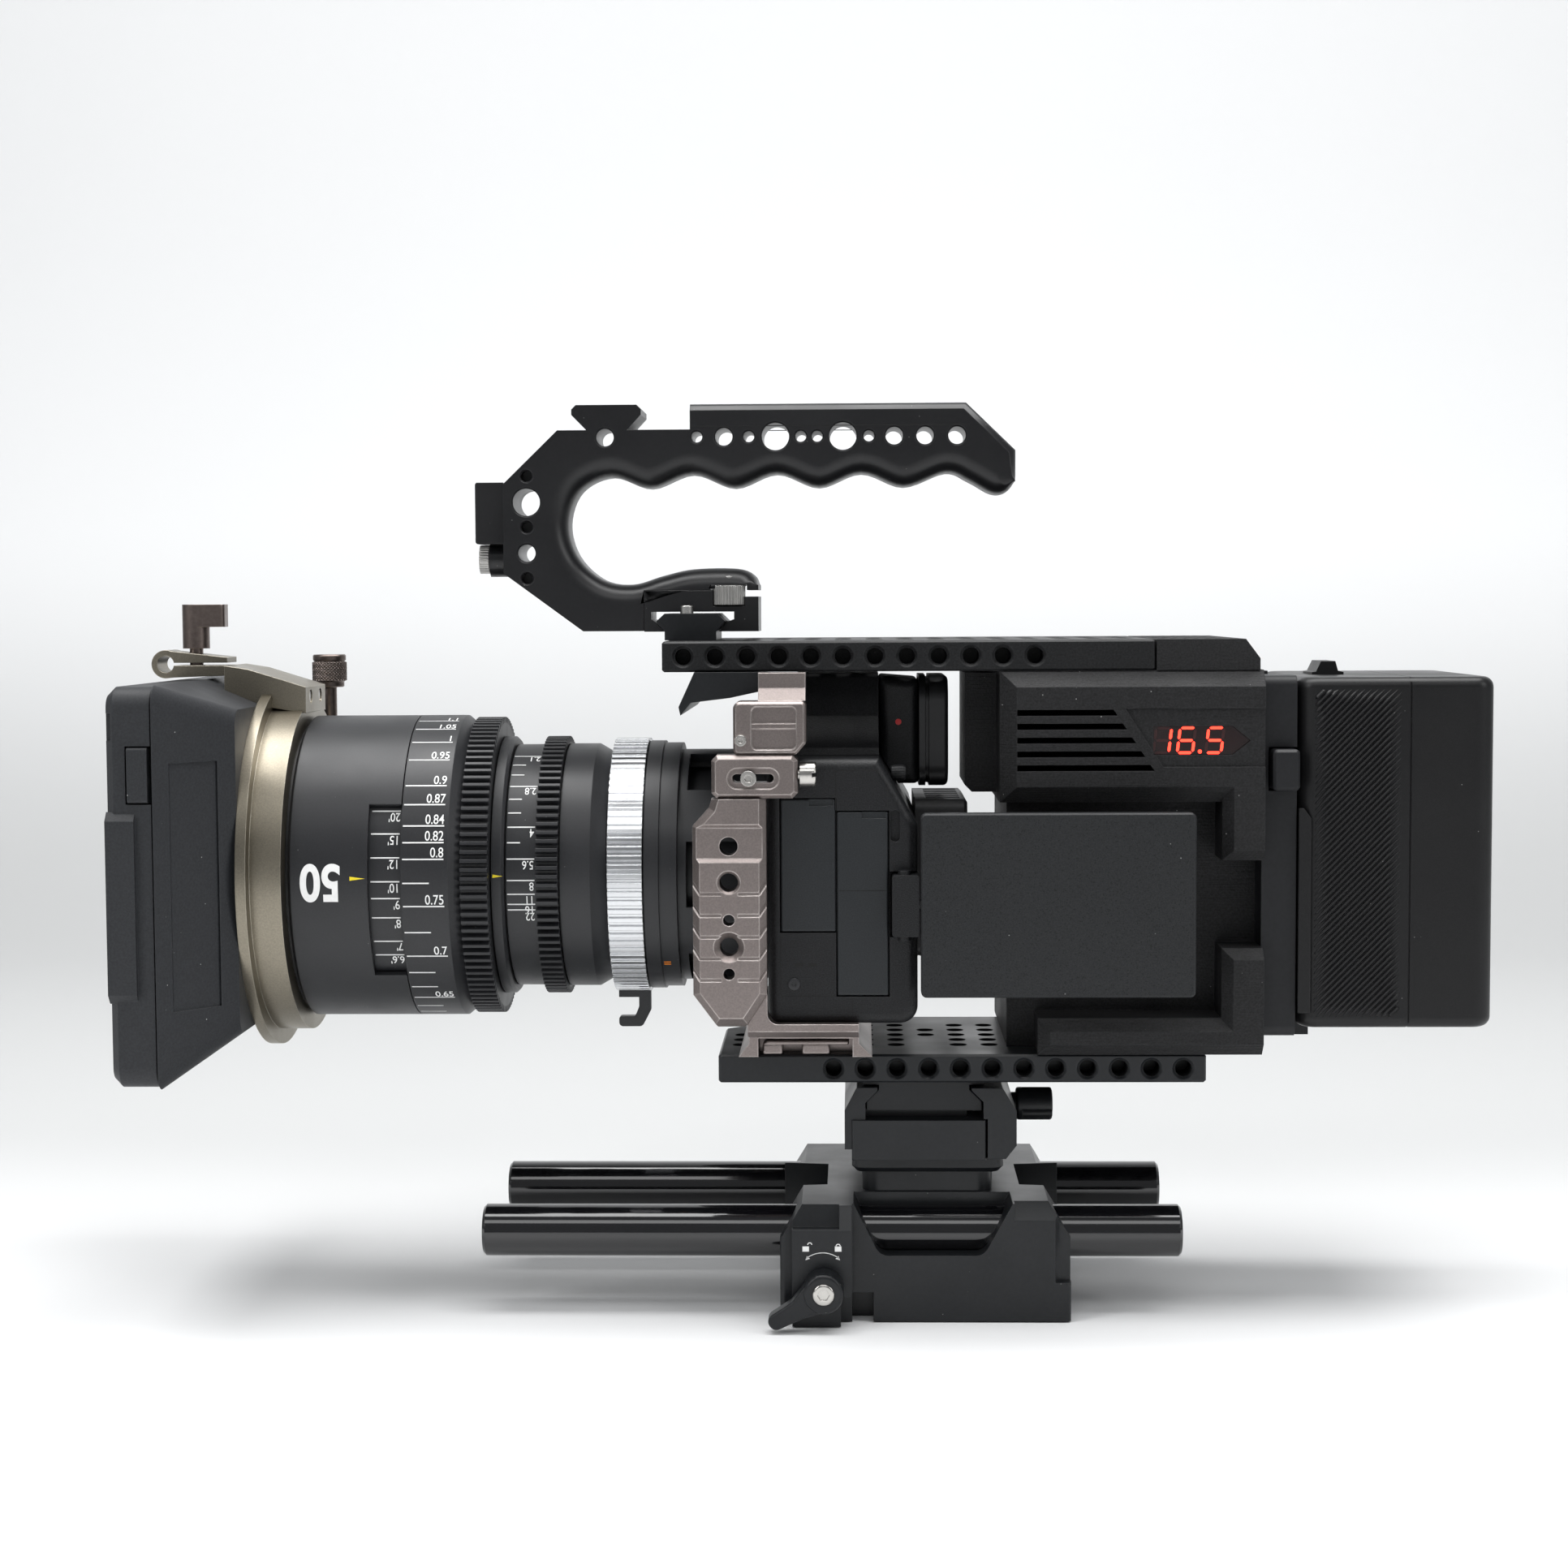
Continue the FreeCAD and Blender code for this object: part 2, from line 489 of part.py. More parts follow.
def eyepiece():
    tube_side = [(-12.6, 161.7), (-7.0, 152.4), (-1.0, 152.4, 1.5), (-1.0, 183.0, 1.5), (-12.6, 184.0, 1.0)]
    housing = prism("y", tube_side, (-17.0, 17.0))
    housing = soften(housing, 3.0, lambda b: b.YLength < 0.01 and b.XLength > 8 and b.ZMin > 170)
    lens_bore = cylinder("x", 10.0, (-8.0, 0.0), 0, 167.5)
    save("eyepiece_tube", housing.cut(lens_bore))

    cup = slab("x", (-18.5, 18.5), (151.6, 184.0), (-1.0, 7.5), 7.0)
    cup = soften(cup, 1.5, lambda b: b.XMin > 7.4)
    hollow = slab("x", (-14.0, 14.0), (157.0, 178.5), (2.0, 8.0), 6.0)
    cup = cup.cut([hollow, cylinder("x", 10.0, (-2.0, 3.0), 0, 167.5)])
    groove = slab("x", (-20.0, 20.0), (150.0, 186.0), (0.9, 1.9), 7.0)
    inner = slab("x", (-17.6, 17.6), (152.5, 183.1), (0.8, 2.0), 6.4)
    save("eyecup", cup.cut(groove.cut(inner)))


def port_door(name, span):
    x_from, x_to, z_from, z_to = span
    face = BODY_Y[0]
    door = slab("y", (x_from, x_to), (z_from, z_to), (face, face + DOOR_DEPTH), 0.5)
    door = soften(door, DOOR_HINGE,
                  lambda b: b.ZLength > 10 and b.XMax < x_from + 0.01 and b.YMax < face + 0.01)
    notch = box((x_to - 7.4, x_to - 0.6), (face - 1, face + 0.5), (z_to - 1.9, z_to + 1))
    save(name, door.cut(notch))


def screen():
    arm = slab("y", (-9.4, -1.8), (112.0, 129.3), (-54.6, -46.6), 0.8)
    pin = cylinder("x", 1.6, (-1.9, 3.0), sum(SCREEN_Y) / 2, TILT_Z)
    knuckle = cylinder("z", 1.8, (110.8, 130.5), *SWING_AT)
    save("screen_hinge_arm", join([arm, pin, knuckle]))

    panel = slab("y", SCREEN_X, SCREEN_Z, SCREEN_Y, 1.6)
    panel = bevel(panel, 0.5, lambda b: b.YLength < 0.01)
    glass_seat = box((6.0, 71.0), (SCREEN_Y[1] - 0.8, SCREEN_Y[1] + 1), (99.0, 142.6))
    bore = cylinder("x", 1.6 + BORE_GAP, (SCREEN_X[0] - 1, 3.4), sum(SCREEN_Y) / 2, TILT_Z)
    save("screen_panel", panel.cut([glass_seat, bore]))


def camera_inside():
    sensor = box((-27.4, -26.4), (-18.0, 18.0), (AXIS_Z - 12, AXIS_Z + 12))
    carrier = box((-25.9, -24.3), (-24.0, 24.0), (AXIS_Z - 16, AXIS_Z + 13))
    board = box((-21.5, -19.9), (-38.0, 56.0), (97.0, 140.0))
    standoffs = [cylinder("x", 1.5, (-24.3, -21.5), y, z) for y in (-20.0, 20.0) for z in (114.0, 137.0)]
    pad = box((-26.4, -25.9), (-10.0, 10.0), (AXIS_Z - 6, AXIS_Z + 6))
    save("image_sensor", sensor.fuse([pad, carrier, board] + standoffs))


def rear_fan():
    shell = slab("x", (-20.0, 32.0), (102.0, 148.0), (BODY_X[1], 13.0), 3.0)
    shell = bevel(shell, 1.0, lambda b: b.XMin > 12.9)
    slots = []
    for i in range(7):
        y = -14.0 + i * 6.0
        slots.append(box((1.0, 11.0), (y, y + 3.4), (138.0, 149.0)))
        slots.append(box((6.0, 14.0), (y, y + 3.4), (110.0, 132.0)))
    save("rear_fan", shell.cut(slots))


def rounded_path(points, radius):
    """Straight runs joined by tangent arcs."""
    edges = []
    start = points[0]
    for i in range(1, len(points) - 1):
        back = (points[i - 1] - points[i]).normalize()
        ahead = (points[i + 1] - points[i]).normalize()
        half = back.getAngle(ahead) / 2
        inward = (back + ahead).normalize()
        reach = radius / math.tan(half)
        middle = points[i] + inward * (radius / math.sin(half) - radius)
        edges.append(Part.LineSegment(start, points[i] + back * reach).toShape())
        start = points[i] + ahead * reach
        edges.append(Part.Arc(points[i] + back * reach, middle, start).toShape())
    edges.append(Part.LineSegment(start, points[-1]).toShape())
    return Part.Wire(edges)


def power_lead():
    route = [V(26.0, 4.0, 95.6), V(9.0, 4.0, 90.5), V(9.0, 50.0, 90.5), V(BODY_X[1] - 2, 61.8, 98.2)]
    wire = rounded_path(route, 6.0)
    first = wire.Edges[0]
    ring = Part.Wire(Part.makeCircle(2.6, first.valueAt(first.FirstParameter),
                                     first.tangentAt(first.FirstParameter)))
    lead = wire.makePipeShell([ring], True, False)
    save("power_lead", lead.common(box((BODY_X[1], 24.0), (-10.0, 70.0), (80.0, 110.0))))


# --------------------------------------------------------------------- lens

def lens_cylinder(radius, span):
    return cylinder("x", radius, span, AXIS_Y, AXIS_Z)


def lens_tube(outer, inner, span):
    return tube("x", outer, inner, span, AXIS_Y, AXIS_Z)


def lens_cone(radii, span):
    return cone("x", radii, span, AXIS_Y, AXIS_Z)


def lens_sector(outer, inner, span, low, high):
    """Ring slice between two angles above the horizontal, on the camera's left side."""
    steps = [low, (low + high) / 2, high]

    def rim(radius, angle):
        turn = math.radians(angle)
        return V(span[0], AXIS_Y - radius * math.cos(turn), AXIS_Z + radius * math.sin(turn))

    outer_points = [rim(outer, angle) for angle in steps]
    inner_points = [rim(inner, angle) for angle in reversed(steps)]
    edges = [Part.Arc(*outer_points).toShape(), Part.LineSegment(outer_points[2], inner_points[0]).toShape(),
             Part.Arc(*inner_points).toShape(), Part.LineSegment(inner_points[2], outer_points[0]).toShape()]
    return Part.Face(Part.Wire(edges)).extrude(V(span[1] - span[0], 0, 0))


def lens_front():
    barrel = lens_cylinder(FRONT_R, (-181.0, -149.0))
    barrel = bevel(barrel, 0.8, lambda b: b.XMax < -180.9)
    lip = lens_cylinder(LENS_LIP_R, (-190.5, -181.0))
    barrel = join([barrel, lip])
    cuts = [lens_cone((40.5, 36.5), (-190.6, -180.0)), lens_cylinder(CORE_R, (-180.0, -148.0)),
            lens_cylinder(FRONT_R - 1.5, (-160.4, -148.0)),
            lens_sector(FRONT_R + 1, FRONT_R - 3, (-158.2, -147.0), -40.0, 28.0)]
    save("lens_front_barrel", barrel.cut(cuts))

    sleeve = lens_tube(FRONT_R - 2.0, RING_BORE, (-160.0, -148.7))
    scale = lens_tube(FRONT_R, RING_BORE, (-148.7, -135.3))
    taper = lens_cone((FRONT_R, 42.0), (-135.3, -132.0)).cut(lens_cylinder(RING_BORE, (-135.3, -132.0)))
    gear = ridged_disc("x", FOCUS_TEETH, FOCUS_GEAR_R, 2.25 * GEAR_MODULE, (-132.0, -124.2), AXIS_Y, AXIS_Z)
    gear = gear.cut(lens_cylinder(RING_BORE, (-132.0, -124.2)))
    save("focus_ring", join([sleeve, scale, taper, gear]))

    dial = lens_tube(36.0, RING_BORE, (-119.9, -111.2))
    gear = ridged_disc("x", IRIS_TEETH, IRIS_GEAR_R, 2.25 * GEAR_MODULE, (-111.2, -104.8), AXIS_Y, AXIS_Z)
    gear = gear.cut(lens_cylinder(RING_BORE, (-111.2, -104.8)))
    save("iris_ring", join([dial, gear]))


def lens_rear():
    core = lens_cylinder(CORE_R, (-180.0, -104.4))
    collar = lens_cylinder(38.4, (-123.8, -120.3))
    collar = bevel(collar, 0.8, lambda b: b.XMin > -120.4)
    barrel = lens_cylinder(36.2, (-104.4, -95.8))
    taper = lens_cone((36.2, 33.5), (-95.8, -91.2))
    hollow = [lens_cylinder(31.0, (-181.0, -140.0)), lens_cone((31.0, 24.0), (-140.0, -110.0)),
              lens_cylinder(24.0, (-110.0, -90.0))]
    save("lens_rear_barrel", join([core, collar, barrel, taper]).cut(hollow))


def dished_disc(radius, x, front_bulge, rear_bulge, thickness):
    """Round glass element with spherical faces; the bulges are the height of each cap."""
    disc = lens_cylinder(radius, (x, x + thickness))
    caps = []
    for edge, bulge, way in ((x, front_bulge, 1), (x + thickness, rear_bulge, -1)):
        ball_r = (radius ** 2 + bulge ** 2) / (2 * bulge)
        centre = edge + way * (ball_r - bulge)
        ball = Part.makeSphere(ball_r, V(centre, AXIS_Y, AXIS_Z))
        span = (edge - bulge, edge) if way > 0 else (edge, edge + bulge)
        caps.append(ball.common(lens_cylinder(radius, span)))
    return join([disc] + caps)


def lens_elements():
    front = dished_disc(30.8, -172.0, 4.5, 1.0, 4.0)
    middle = dished_disc(23.8, -107.0, 2.0, 2.0, 3.0)
    rear = dished_disc(23.8, -97.0, 1.5, 2.5, 3.0)
    save("lens_elements", Part.makeCompound([front, middle, rear]))


def lens_adapter():
    hub = lens_tube(HUB_R, 26.0, (-91.0, -80.3))
    collar = lens_tube(37.0, 26.0, (-80.3, -76.0))
    collar = collar.fuse(lens_tube(36.4, 26.0, (-76.0, -70.8)))
    shell = lens_tube(34.4, 31.6, (-70.8, -46.0))
    windows = []
    for i in range(6):
        turn = 60 * i + 30
        window = box((-68.2, -50.0), (-9.5, 9.5), (AXIS_Z + 29.0, AXIS_Z + 36.0))
        window.rotate(V(0, AXIS_Y, AXIS_Z), V(1, 0, 0), turn)
        windows.append(window)
    inner = lens_tube(29.0, 26.0, (-70.8, BODY_X[0]))
    webs = []
    for i in range(6):
        web = box((-70.8, -46.0), (-1.2, 1.2), (AXIS_Z + 28.5, AXIS_Z + 33.0))
        web.rotate(V(0, AXIS_Y, AXIS_Z), V(1, 0, 0), 60 * i)
        webs.append(web)
    flange = lens_tube(34.0, 26.0, (-50.0, BODY_X[0]))
    save("lens_adapter", join([hub, collar, shell.cut(windows), inner, flange] + webs))

    ring = ridged_disc("x", LOCK_RIDGES, LOCK_RING_R, 0.6, (-90.7, -80.7), AXIS_Y, AXIS_Z, 0.5, 0.3)
    ring = ring.cut(lens_cylinder(HUB_R + BORE_GAP, (-91.0, -80.0)))
    save("adapter_lock_ring", ring)

    hook = [(-90.4, 91.5), (-80.9, 91.5), (-80.9, 84.0, 1.0), (-83.4, 79.2, 1.6), (-90.4, 79.2, 1.2),
            (-90.4, 82.2, 0.8), (-85.6, 82.2, 0.8), (-84.4, 85.2, 0.8), (-84.4, 88.0), (-90.4, 88.0)]
    lever = prism("y", hook, (-5.0, -1.6))
    save("adapter_lever", lever.cut(lens_cylinder(LOCK_RING_R, (-91.0, -80.0))))


# ---------------------------------------------------------------- matte box

def hood_wire(x, half, low, high, radius):
    return rounded_wire("x", x, rectangle((-half, half), (low, high), radius))


def matte_box():
    wall = 2.4
    (front_half, front_low, front_high), (rear_half, rear_low, rear_high) = HOOD_FRONT, HOOD_REAR
    outer = loft([hood_wire(HOOD_X[0], front_half, front_low, front_high, 5.0),
                  hood_wire(HOOD_X[1], rear_half, rear_low, rear_high, 5.0)])
    rim = wall + 1
    inner = loft([hood_wire(HOOD_X[0] - 0.01, front_half - rim, front_low + rim, front_high - rim, 3.0),
                  hood_wire(HOOD_X[1] - wall, rear_half - wall, rear_low + wall, rear_high - wall, 3.0)])
    hood = outer.cut([inner, lens_cylinder(LENS_LIP_R + 0.1, (-200.0, -190.0)), bracket_arm_shape()])
    hood = hood.cut(side_panels())
    save("matte_box_hood", max(hood.Solids, key=lambda solid: solid.Volume))

    frame = slab("x", (-71.5, 71.5), (72.0, 183.2), TRAY_X, 6.0)
    frame = bevel(frame, 2.2, lambda b: b.XMax < TRAY_X[0] + 0.1)
    opening = slab("x", (-60.0, 60.0), (82.0, 173.2), (TRAY_X[0] - 1, TRAY_X[1] + 1), 3.0)
    cuts = [opening, box((-219.4, -211.0), (-72.0, -66.8), (151.0, 167.0))]
    for side in (-1, 1):
        cuts.append(box((-226.0, -223.4), sorted((side * 69.0, side * 72.0)), (168.5, 176.0)))
    frame = frame.cut(cuts)
    bulges = []
    for side in (-1, 1):
        outline = [(side * 71.0, 96.0), (side * 73.0, 98.5), (side * 73.0, 146.5), (side * 71.0, 149.0)]
        bulges.append(prism("x", outline, (TRAY_X[0], -217.0)))
    save("filter_tray", join([frame] + bulges))

    save("tray_latch", slab("x", (-72.4, -67.9), (151.4, 166.6), (-218.8, -213.2), 0.9))


def side_panels():
    """Shallow sunk panels in the hood's two sloping sides."""
    slope = (HOOD_REAR[0] - HOOD_FRONT[0]) / (HOOD_X[1] - HOOD_X[0])
    corners = []
    for x, depth in ((-208.4, 0.9), (-198.0, 0.9), (-198.0, -1.0), (-208.4, -1.0)):
        corners.append((x, -(HOOD_FRONT[0] + slope * (x - HOOD_X[0]) - depth)))
    panel = prism("z", corners, (93.0, 162.0))
    return [panel, mirror_y(panel)]


def bracket_arm_shape():
    arm = prism("y", [(-205.0, 187.7), (-198.0, 186.6), (-181.0, 181.3), (-181.0, 173.6), (-205.0, 177.6)],
                (-14.5, 14.5))
    lower = prism("y", [(-223.5, 184.0), (-204.0, 184.6), (-204.0, 187.6), (-222.0, 187.6)], (-6.0, 6.0))
    upper = prism("y", [(-224.0, 192.0), (-206.0, 190.0), (-206.0, 188.4), (-222.0, 188.4)], (-6.0, 6.0))
    eye = cylinder("y", 4.2, (-6.0, 6.0), -224.5, 188.0)
    arm = join([arm, lower, upper, eye])
    slit = box((-224.5, -205.2), (-7.0, 7.0), (187.6, 188.4))
    flange_slot = lens_cylinder(FLANGE_R, (HOOD_X[1], -191.0))
    collar = lens_cylinder(COLLAR_R, (-191.0, -182.0))
    cuts = [cylinder("y", 2.5, (-7.0, 7.0), -224.5, 188.0), slit, flange_slot, collar,
            cylinder("z", 2.0 + BORE_GAP, (184.0, 193.0), -216.6, 0),
            cylinder("x", 2.1, (-182.5, -180.0), -7.0, 178.3),
            cylinder("x", 2.1, (-182.5, -180.0), 7.0, 178.3)]
    return arm.cut(cuts)


def matte_clamp():
    save("bracket_arm", bracket_arm_shape())
    flange = lens_tube(FLANGE_R, LENS_LIP_R + 0.1, (HOOD_X[1], -191.0))
    collar = lens_tube(COLLAR_R, LENS_LIP_R + 0.1, (-191.0, -182.0))
    lug = box((-190.8, -182.2), (41.0, 53.0), (139.5, 151.5))
    ring = join([flange, collar, lug.cut(lens_cylinder(COLLAR_R - 1, (-192.0, -181.0)))])
    cuts = [box((-191.0, -181.9), (40.0, 54.0), (145.0, 146.4)),
            box((-194.1, -190.9), (30.0, 54.0), (145.0, 146.4)),
            cylinder("z", 2.2 + BORE_GAP, (139.0, 152.0), -186.5, 50.0)]
    save("matte_clamp_ring", ring.cut(cuts))

    head = ridged_disc("z", 36, 5.5, 0.4, (181.4, 187.6), -186.5, 50.0)
    parts = [head]
    for radius, span in ((5.2, (187.6, 189.8)), (4.6, (179.4, 181.4)), (2.2, (140.0, 179.4))):
        parts.append(cylinder("z", radius, span, -186.5, 50.0))
    save("ring_thumbscrew", join(parts))

    hub = cylinder("z", 4.0, (192.6, 205.7), -216.6, 0)
    wing = prism("z", [(-216.6, -4.0), (-207.4, -3.2, 1.5), (-207.4, 3.2, 1.5), (-216.6, 4.0)],
                 (199.0, 205.7))
    stem = cylinder("z", 2.0, (184.6, 192.6), -216.6, 0)
    save("wing_knob", join([hub, wing, stem]))


# -------------------------------------------------------------------- handle

def handle_outline():
    """Side outline of the handle: a smooth finger curve closed by straight runs."""
    grooves = [(27.2, 239.6), (24.6, 237.3), (20.6, 237.1), (13.8, 240.8)]
    for crest in (-5.2, -30.0, -54.8, -79.6):
        grooves += [(crest + 12.4, 243.2), (crest, 239.2)]
    grooves += [(-91.0, 242.6), (-100.4, 238.4), (-103.9, 229.0), (-101.4, 219.4), (-94.0, 212.4),
                (-85.0, 210.9), (-76.0, 213.4), (-67.0, 215.3), (-54.0, 215.4), (-49.2, 213.4),
                (-47.8, 210.0)]
    outer = [(-47.8, 210.0), (-47.8, FOOT_TOP), (-81.6, FOOT_TOP), (-81.6, 197.1), (-99.4, 197.1),
             (-122.8, 214.3), (-122.8, 240.3), (-106.5, 256.0), (-98.0, 256.0), (-102.3, 260.4),
             (-102.3, 262.0), (-101.0, 263.3), (-83.2, 263.3), (-81.9, 262.0), (-81.9, 260.4),
             (-86.0, 256.0), (-67.6, 256.0), (-67.6, 263.5), (13.1, 263.5), (27.6, 249.5), (27.6, 240.6),
             (27.2, 239.6)]
    curve = Part.BSplineCurve()
    curve.interpolate([V(x, -HANDLE_Y, z) for x, z in grooves])
    corners = [V(x, -HANDLE_Y, z) for x, z in outer]
    lines = [Part.LineSegment(a, b).toShape() for a, b in zip(corners, corners[1:])]
    return Part.Wire(lines + [curve.toShape()])


def handle():
    body = Part.Face(handle_outline()).extrude(V(0, 2 * HANDLE_Y, 0))
    finger_edges = [edge for edge in body.Edges if edge.Curve.TypeId == "Part::GeomBSplineCurve"]
    body = body.makeFillet(GRIP_ROUND, finger_edges)
    body = bevel(body, 1.8, lambda b: b.YLength < 0.01 and (b.ZMin > 263.4 and b.XLength > 40
                                                            or b.XMin > 13 and b.ZLength > 10))
    cuts = []
    for x, radius in ((-92.5, 2.55), (-65.6, 1.6), (-57.7, 2.55), (-50.4, 1.6), (-42.6, 4.0), (-35.2, 1.6),
                      (-30.4, 1.6), (-22.9, 4.0), (-15.3, 1.6), (-7.9, 2.55), (1.1, 2.55), (10.4, 2.55)):
        cuts.append(cylinder("y", radius, (-HANDLE_Y - 1, HANDLE_Y + 1), x, 253.8))
    for z, radius in ((235.1, 4.0), (220.2, 2.55)):
        cuts.append(cylinder("y", radius, (-HANDLE_Y - 1, HANDLE_Y + 1), -115.8, z))
    for z in (242.7, 227.8, 212.8):
        cuts.append(cylinder("y", 1.6, (-HANDLE_Y - 1, -HANDLE_Y + 6), -115.8, z))
    cuts.append(cylinder("z", 5.2, (FOOT_TOP - 1, 210.8), *WHEEL_AT))
    cuts.append(cylinder("z", 1.5 + BORE_GAP, (FOOT_TOP, 213.6), *WHEEL_AT))
    save("handle_body", body.cut(cuts))


def nato_clamp():
    rail = prism("y", [(-75.1, 194.5), (-60.0, 194.5), (-60.0, 197.1), (-57.4, 200.0), (-59.7, 202.3),
                       (-75.1, 202.3), (-77.6, 200.0), (-75.1, 197.1)], (-RAIL_Y, RAIL_Y))
    save("nato_rail", rail.cut(cylinder("z", 1.95 + BORE_GAP, (196.0, 203.0), *PIN_AT)))

    pin = cylinder("z", 1.95, (198.8, 204.7), *PIN_AT)
    save("nato_pin", soften(pin, 0.4, lambda b: b.ZMin > 204.6))

    block = box((-81.4, -47.8), (-HANDLE_Y, HANDLE_Y), (197.0, FOOT_TOP))
    channel = [(-75.5, 196.0), (-59.6, 196.0), (-59.6, 196.9), (-56.9, 199.9), (-55.0, 200.6), (-55.0, 202.8),
               (-79.4, 202.8), (-79.4, 200.6), (-78.1, 199.9), (-75.5, 196.9)]
    cuts = [prism("y", channel, (-12.0, 12.0)), box((-57.0, -47.0), (-12.0, 12.0), (207.2, FOOT_TOP + 1)),
            cylinder("z", 5.2, (204.4, FOOT_TOP + 1), *WHEEL_AT)]
    save("nato_clamp_block", block.cut(cuts))

    wheel = ridged_disc("z", 32, 4.8, 0.3, (204.8, 210.4), *WHEEL_AT)
    save("nato_thumb_wheel", wheel.fuse(cylinder("z", 1.5, (210.4, 213.2), *WHEEL_AT)))

    block = box((-131.2, -122.8), (-9.0, 9.0), (223.0, 241.0))
    block = bevel(block, 0.5, lambda b: b.XMax < -131.1)
    collar = cylinder("x", 5.2, (-127.7, -122.8), 0, 218.6)
    block = join([block, collar]).cut(cylinder("x", 2.0 + BORE_GAP, (-128.0, -123.5), 0, 218.6))
    save("handle_front_block", block)

    knob = ridged_disc("x", 28, 4.2, 0.3, (-130.9, -128.0), 0, 218.6)
    save("handle_thumbscrew", knob.fuse(cylinder("x", 2.0, (-128.0, -124.0), 0, 218.6)))


# ------------------------------------------------------ power module, battery

def module_housing():
    x0, x1 = MODULE_X
    y0, y1 = MODULE_Y
    z0, z1 = MODULE_Z
    upper = box((x0, x1), (y0, y1), (MODULE_STEP_Z, z1))
    upper = bevel(upper, 4.6, lambda b: b.YMax < y0 + 0.01 and b.XMin < x1 - 1)
    nose_outline = [(12.2, z1 - 1), (x0, z1 - 1), (x0, 150.2), (14.2, 150.2), (12.2, 152.2)]
    nose = prism("y", nose_outline, (-20.0, 20.0))
    lower = box((24.0, x1), (RECESS_Y, y1), (z0, MODULE_STEP_Z))
    bar = box((32.0, x1), (y0, RECESS_Y), (z0, 87.0))
    bar = bevel(bar, 3.4, lambda b: b.YMax < y0 + 0.01 and b.XMin < x1 - 1)
    arm_up = box((84.0, x1), (y0, RECESS_Y), (83.0, 107.0))
    arm_up = bevel(arm_up, 3.0, lambda b: b.YMax < y0 + 0.01 and b.XMin < x1 - 1 and b.ZMax > 84)
    arm_down = box((84.0, x1), (y0, RECESS_Y), (132.0, 153.0))
    arm_down = bevel(arm_down, 3.0, lambda b: b.YMax < y0 + 0.01 and b.XMin < x1 - 1 and b.ZMin < 152)
    cap = prism("y", [(65.5, z1), (94.6, z1), (94.6, 189.0), (90.5, UPPER_PLATE_Z[1]),
                      (65.5, UPPER_PLATE_Z[1])], (-UPPER_PLATE_Y, UPPER_PLATE_Y))
    shell = join([upper, nose, lower, bar, arm_up, arm_down, cap])
    wall = 3.2
    inside_x = x1 - wall
    cuts = [box((x0 + wall, inside_x), (y0 + wall + 1, y1 - wall), (MODULE_STEP_Z + wall, z1 - wall)),
            box((24.0 + wall, inside_x), (RECESS_Y + wall, y1 - wall), (z0 + wall, MODULE_STEP_Z + wall))]
    slots = ((174.0, 53.0), (170.1, 55.6), (166.2, 58.2), (162.3, 60.8), (158.4, 63.4))
    for z, right in slots:
        slot = [(26.0, z - 0.85), (right + 1.2, z - 0.85), (right, z + 0.85), (26.0, z + 0.85)]
        cuts.append(prism("y", slot, (y0 - 1, y0 + 6)))
    face = [(56.3, 175.2), (x1 + 1, 175.2), (x1 + 1, 158.6), (67.0, 158.6)]
    cuts.append(prism("y", face, (y0 - 1, y0 + 0.9)))
    cuts.append(prism("y", display_outline(), (y0 - 1, y0 + 3.0)))
    cuts += [box((68.0 + i * 3.2, 69.4 + i * 3.2), (-34.0, 34.0), (193.7, 195.0)) for i in range(6)]
    save("module_housing", shell.cut(cuts))

    window = prism("y", display_outline(), (y0 + 1.8, y0 + 3.0))
    save("display_window", window)


def display_outline():
    return [(64.2, 162.0), (86.6, 162.0), (91.6, 166.0), (86.6, 170.1), (64.2, 170.1)]


def v_mount():
    plate = slab("x", (-PLATE_Y, PLATE_Y), PLATE_Z, PLATE_X, 3.0)
    foot = box((99.0, 112.0), (-20.0, 20.0), (79.0, 82.6))
    latch = box((96.5, 104.5), (-16.0, 16.0), (184.0, 185.2))
    cavity = [(-22.0, PLATE_Z[1] + 3), (-15.0, 118.0), (15.0, 118.0), (22.0, PLATE_Z[1] + 3)]
    mouth = [(-19.0, PLATE_Z[1] + 3), (-12.0, 118.0), (12.0, 118.0), (19.0, PLATE_Z[1] + 3)]
    cuts = [prism("x", cavity, (98.4, 103.0)), prism("x", mouth, (103.0, 106.0)),
            box((97.5, 105.8), (-PLATE_Y - 1, -PLATE_Y + 6.3), (151.4, 163.8))]
    save("v_mount_plate", join([plate, foot, latch]).cut(cuts))

    button = slab("y", (97.9, 105.4), (151.8, 163.4), (-43.6, -33.0), 1.2)
    button = bevel(button, 0.8, lambda b: b.YMax < -43.5)
    save("v_release_button", button)


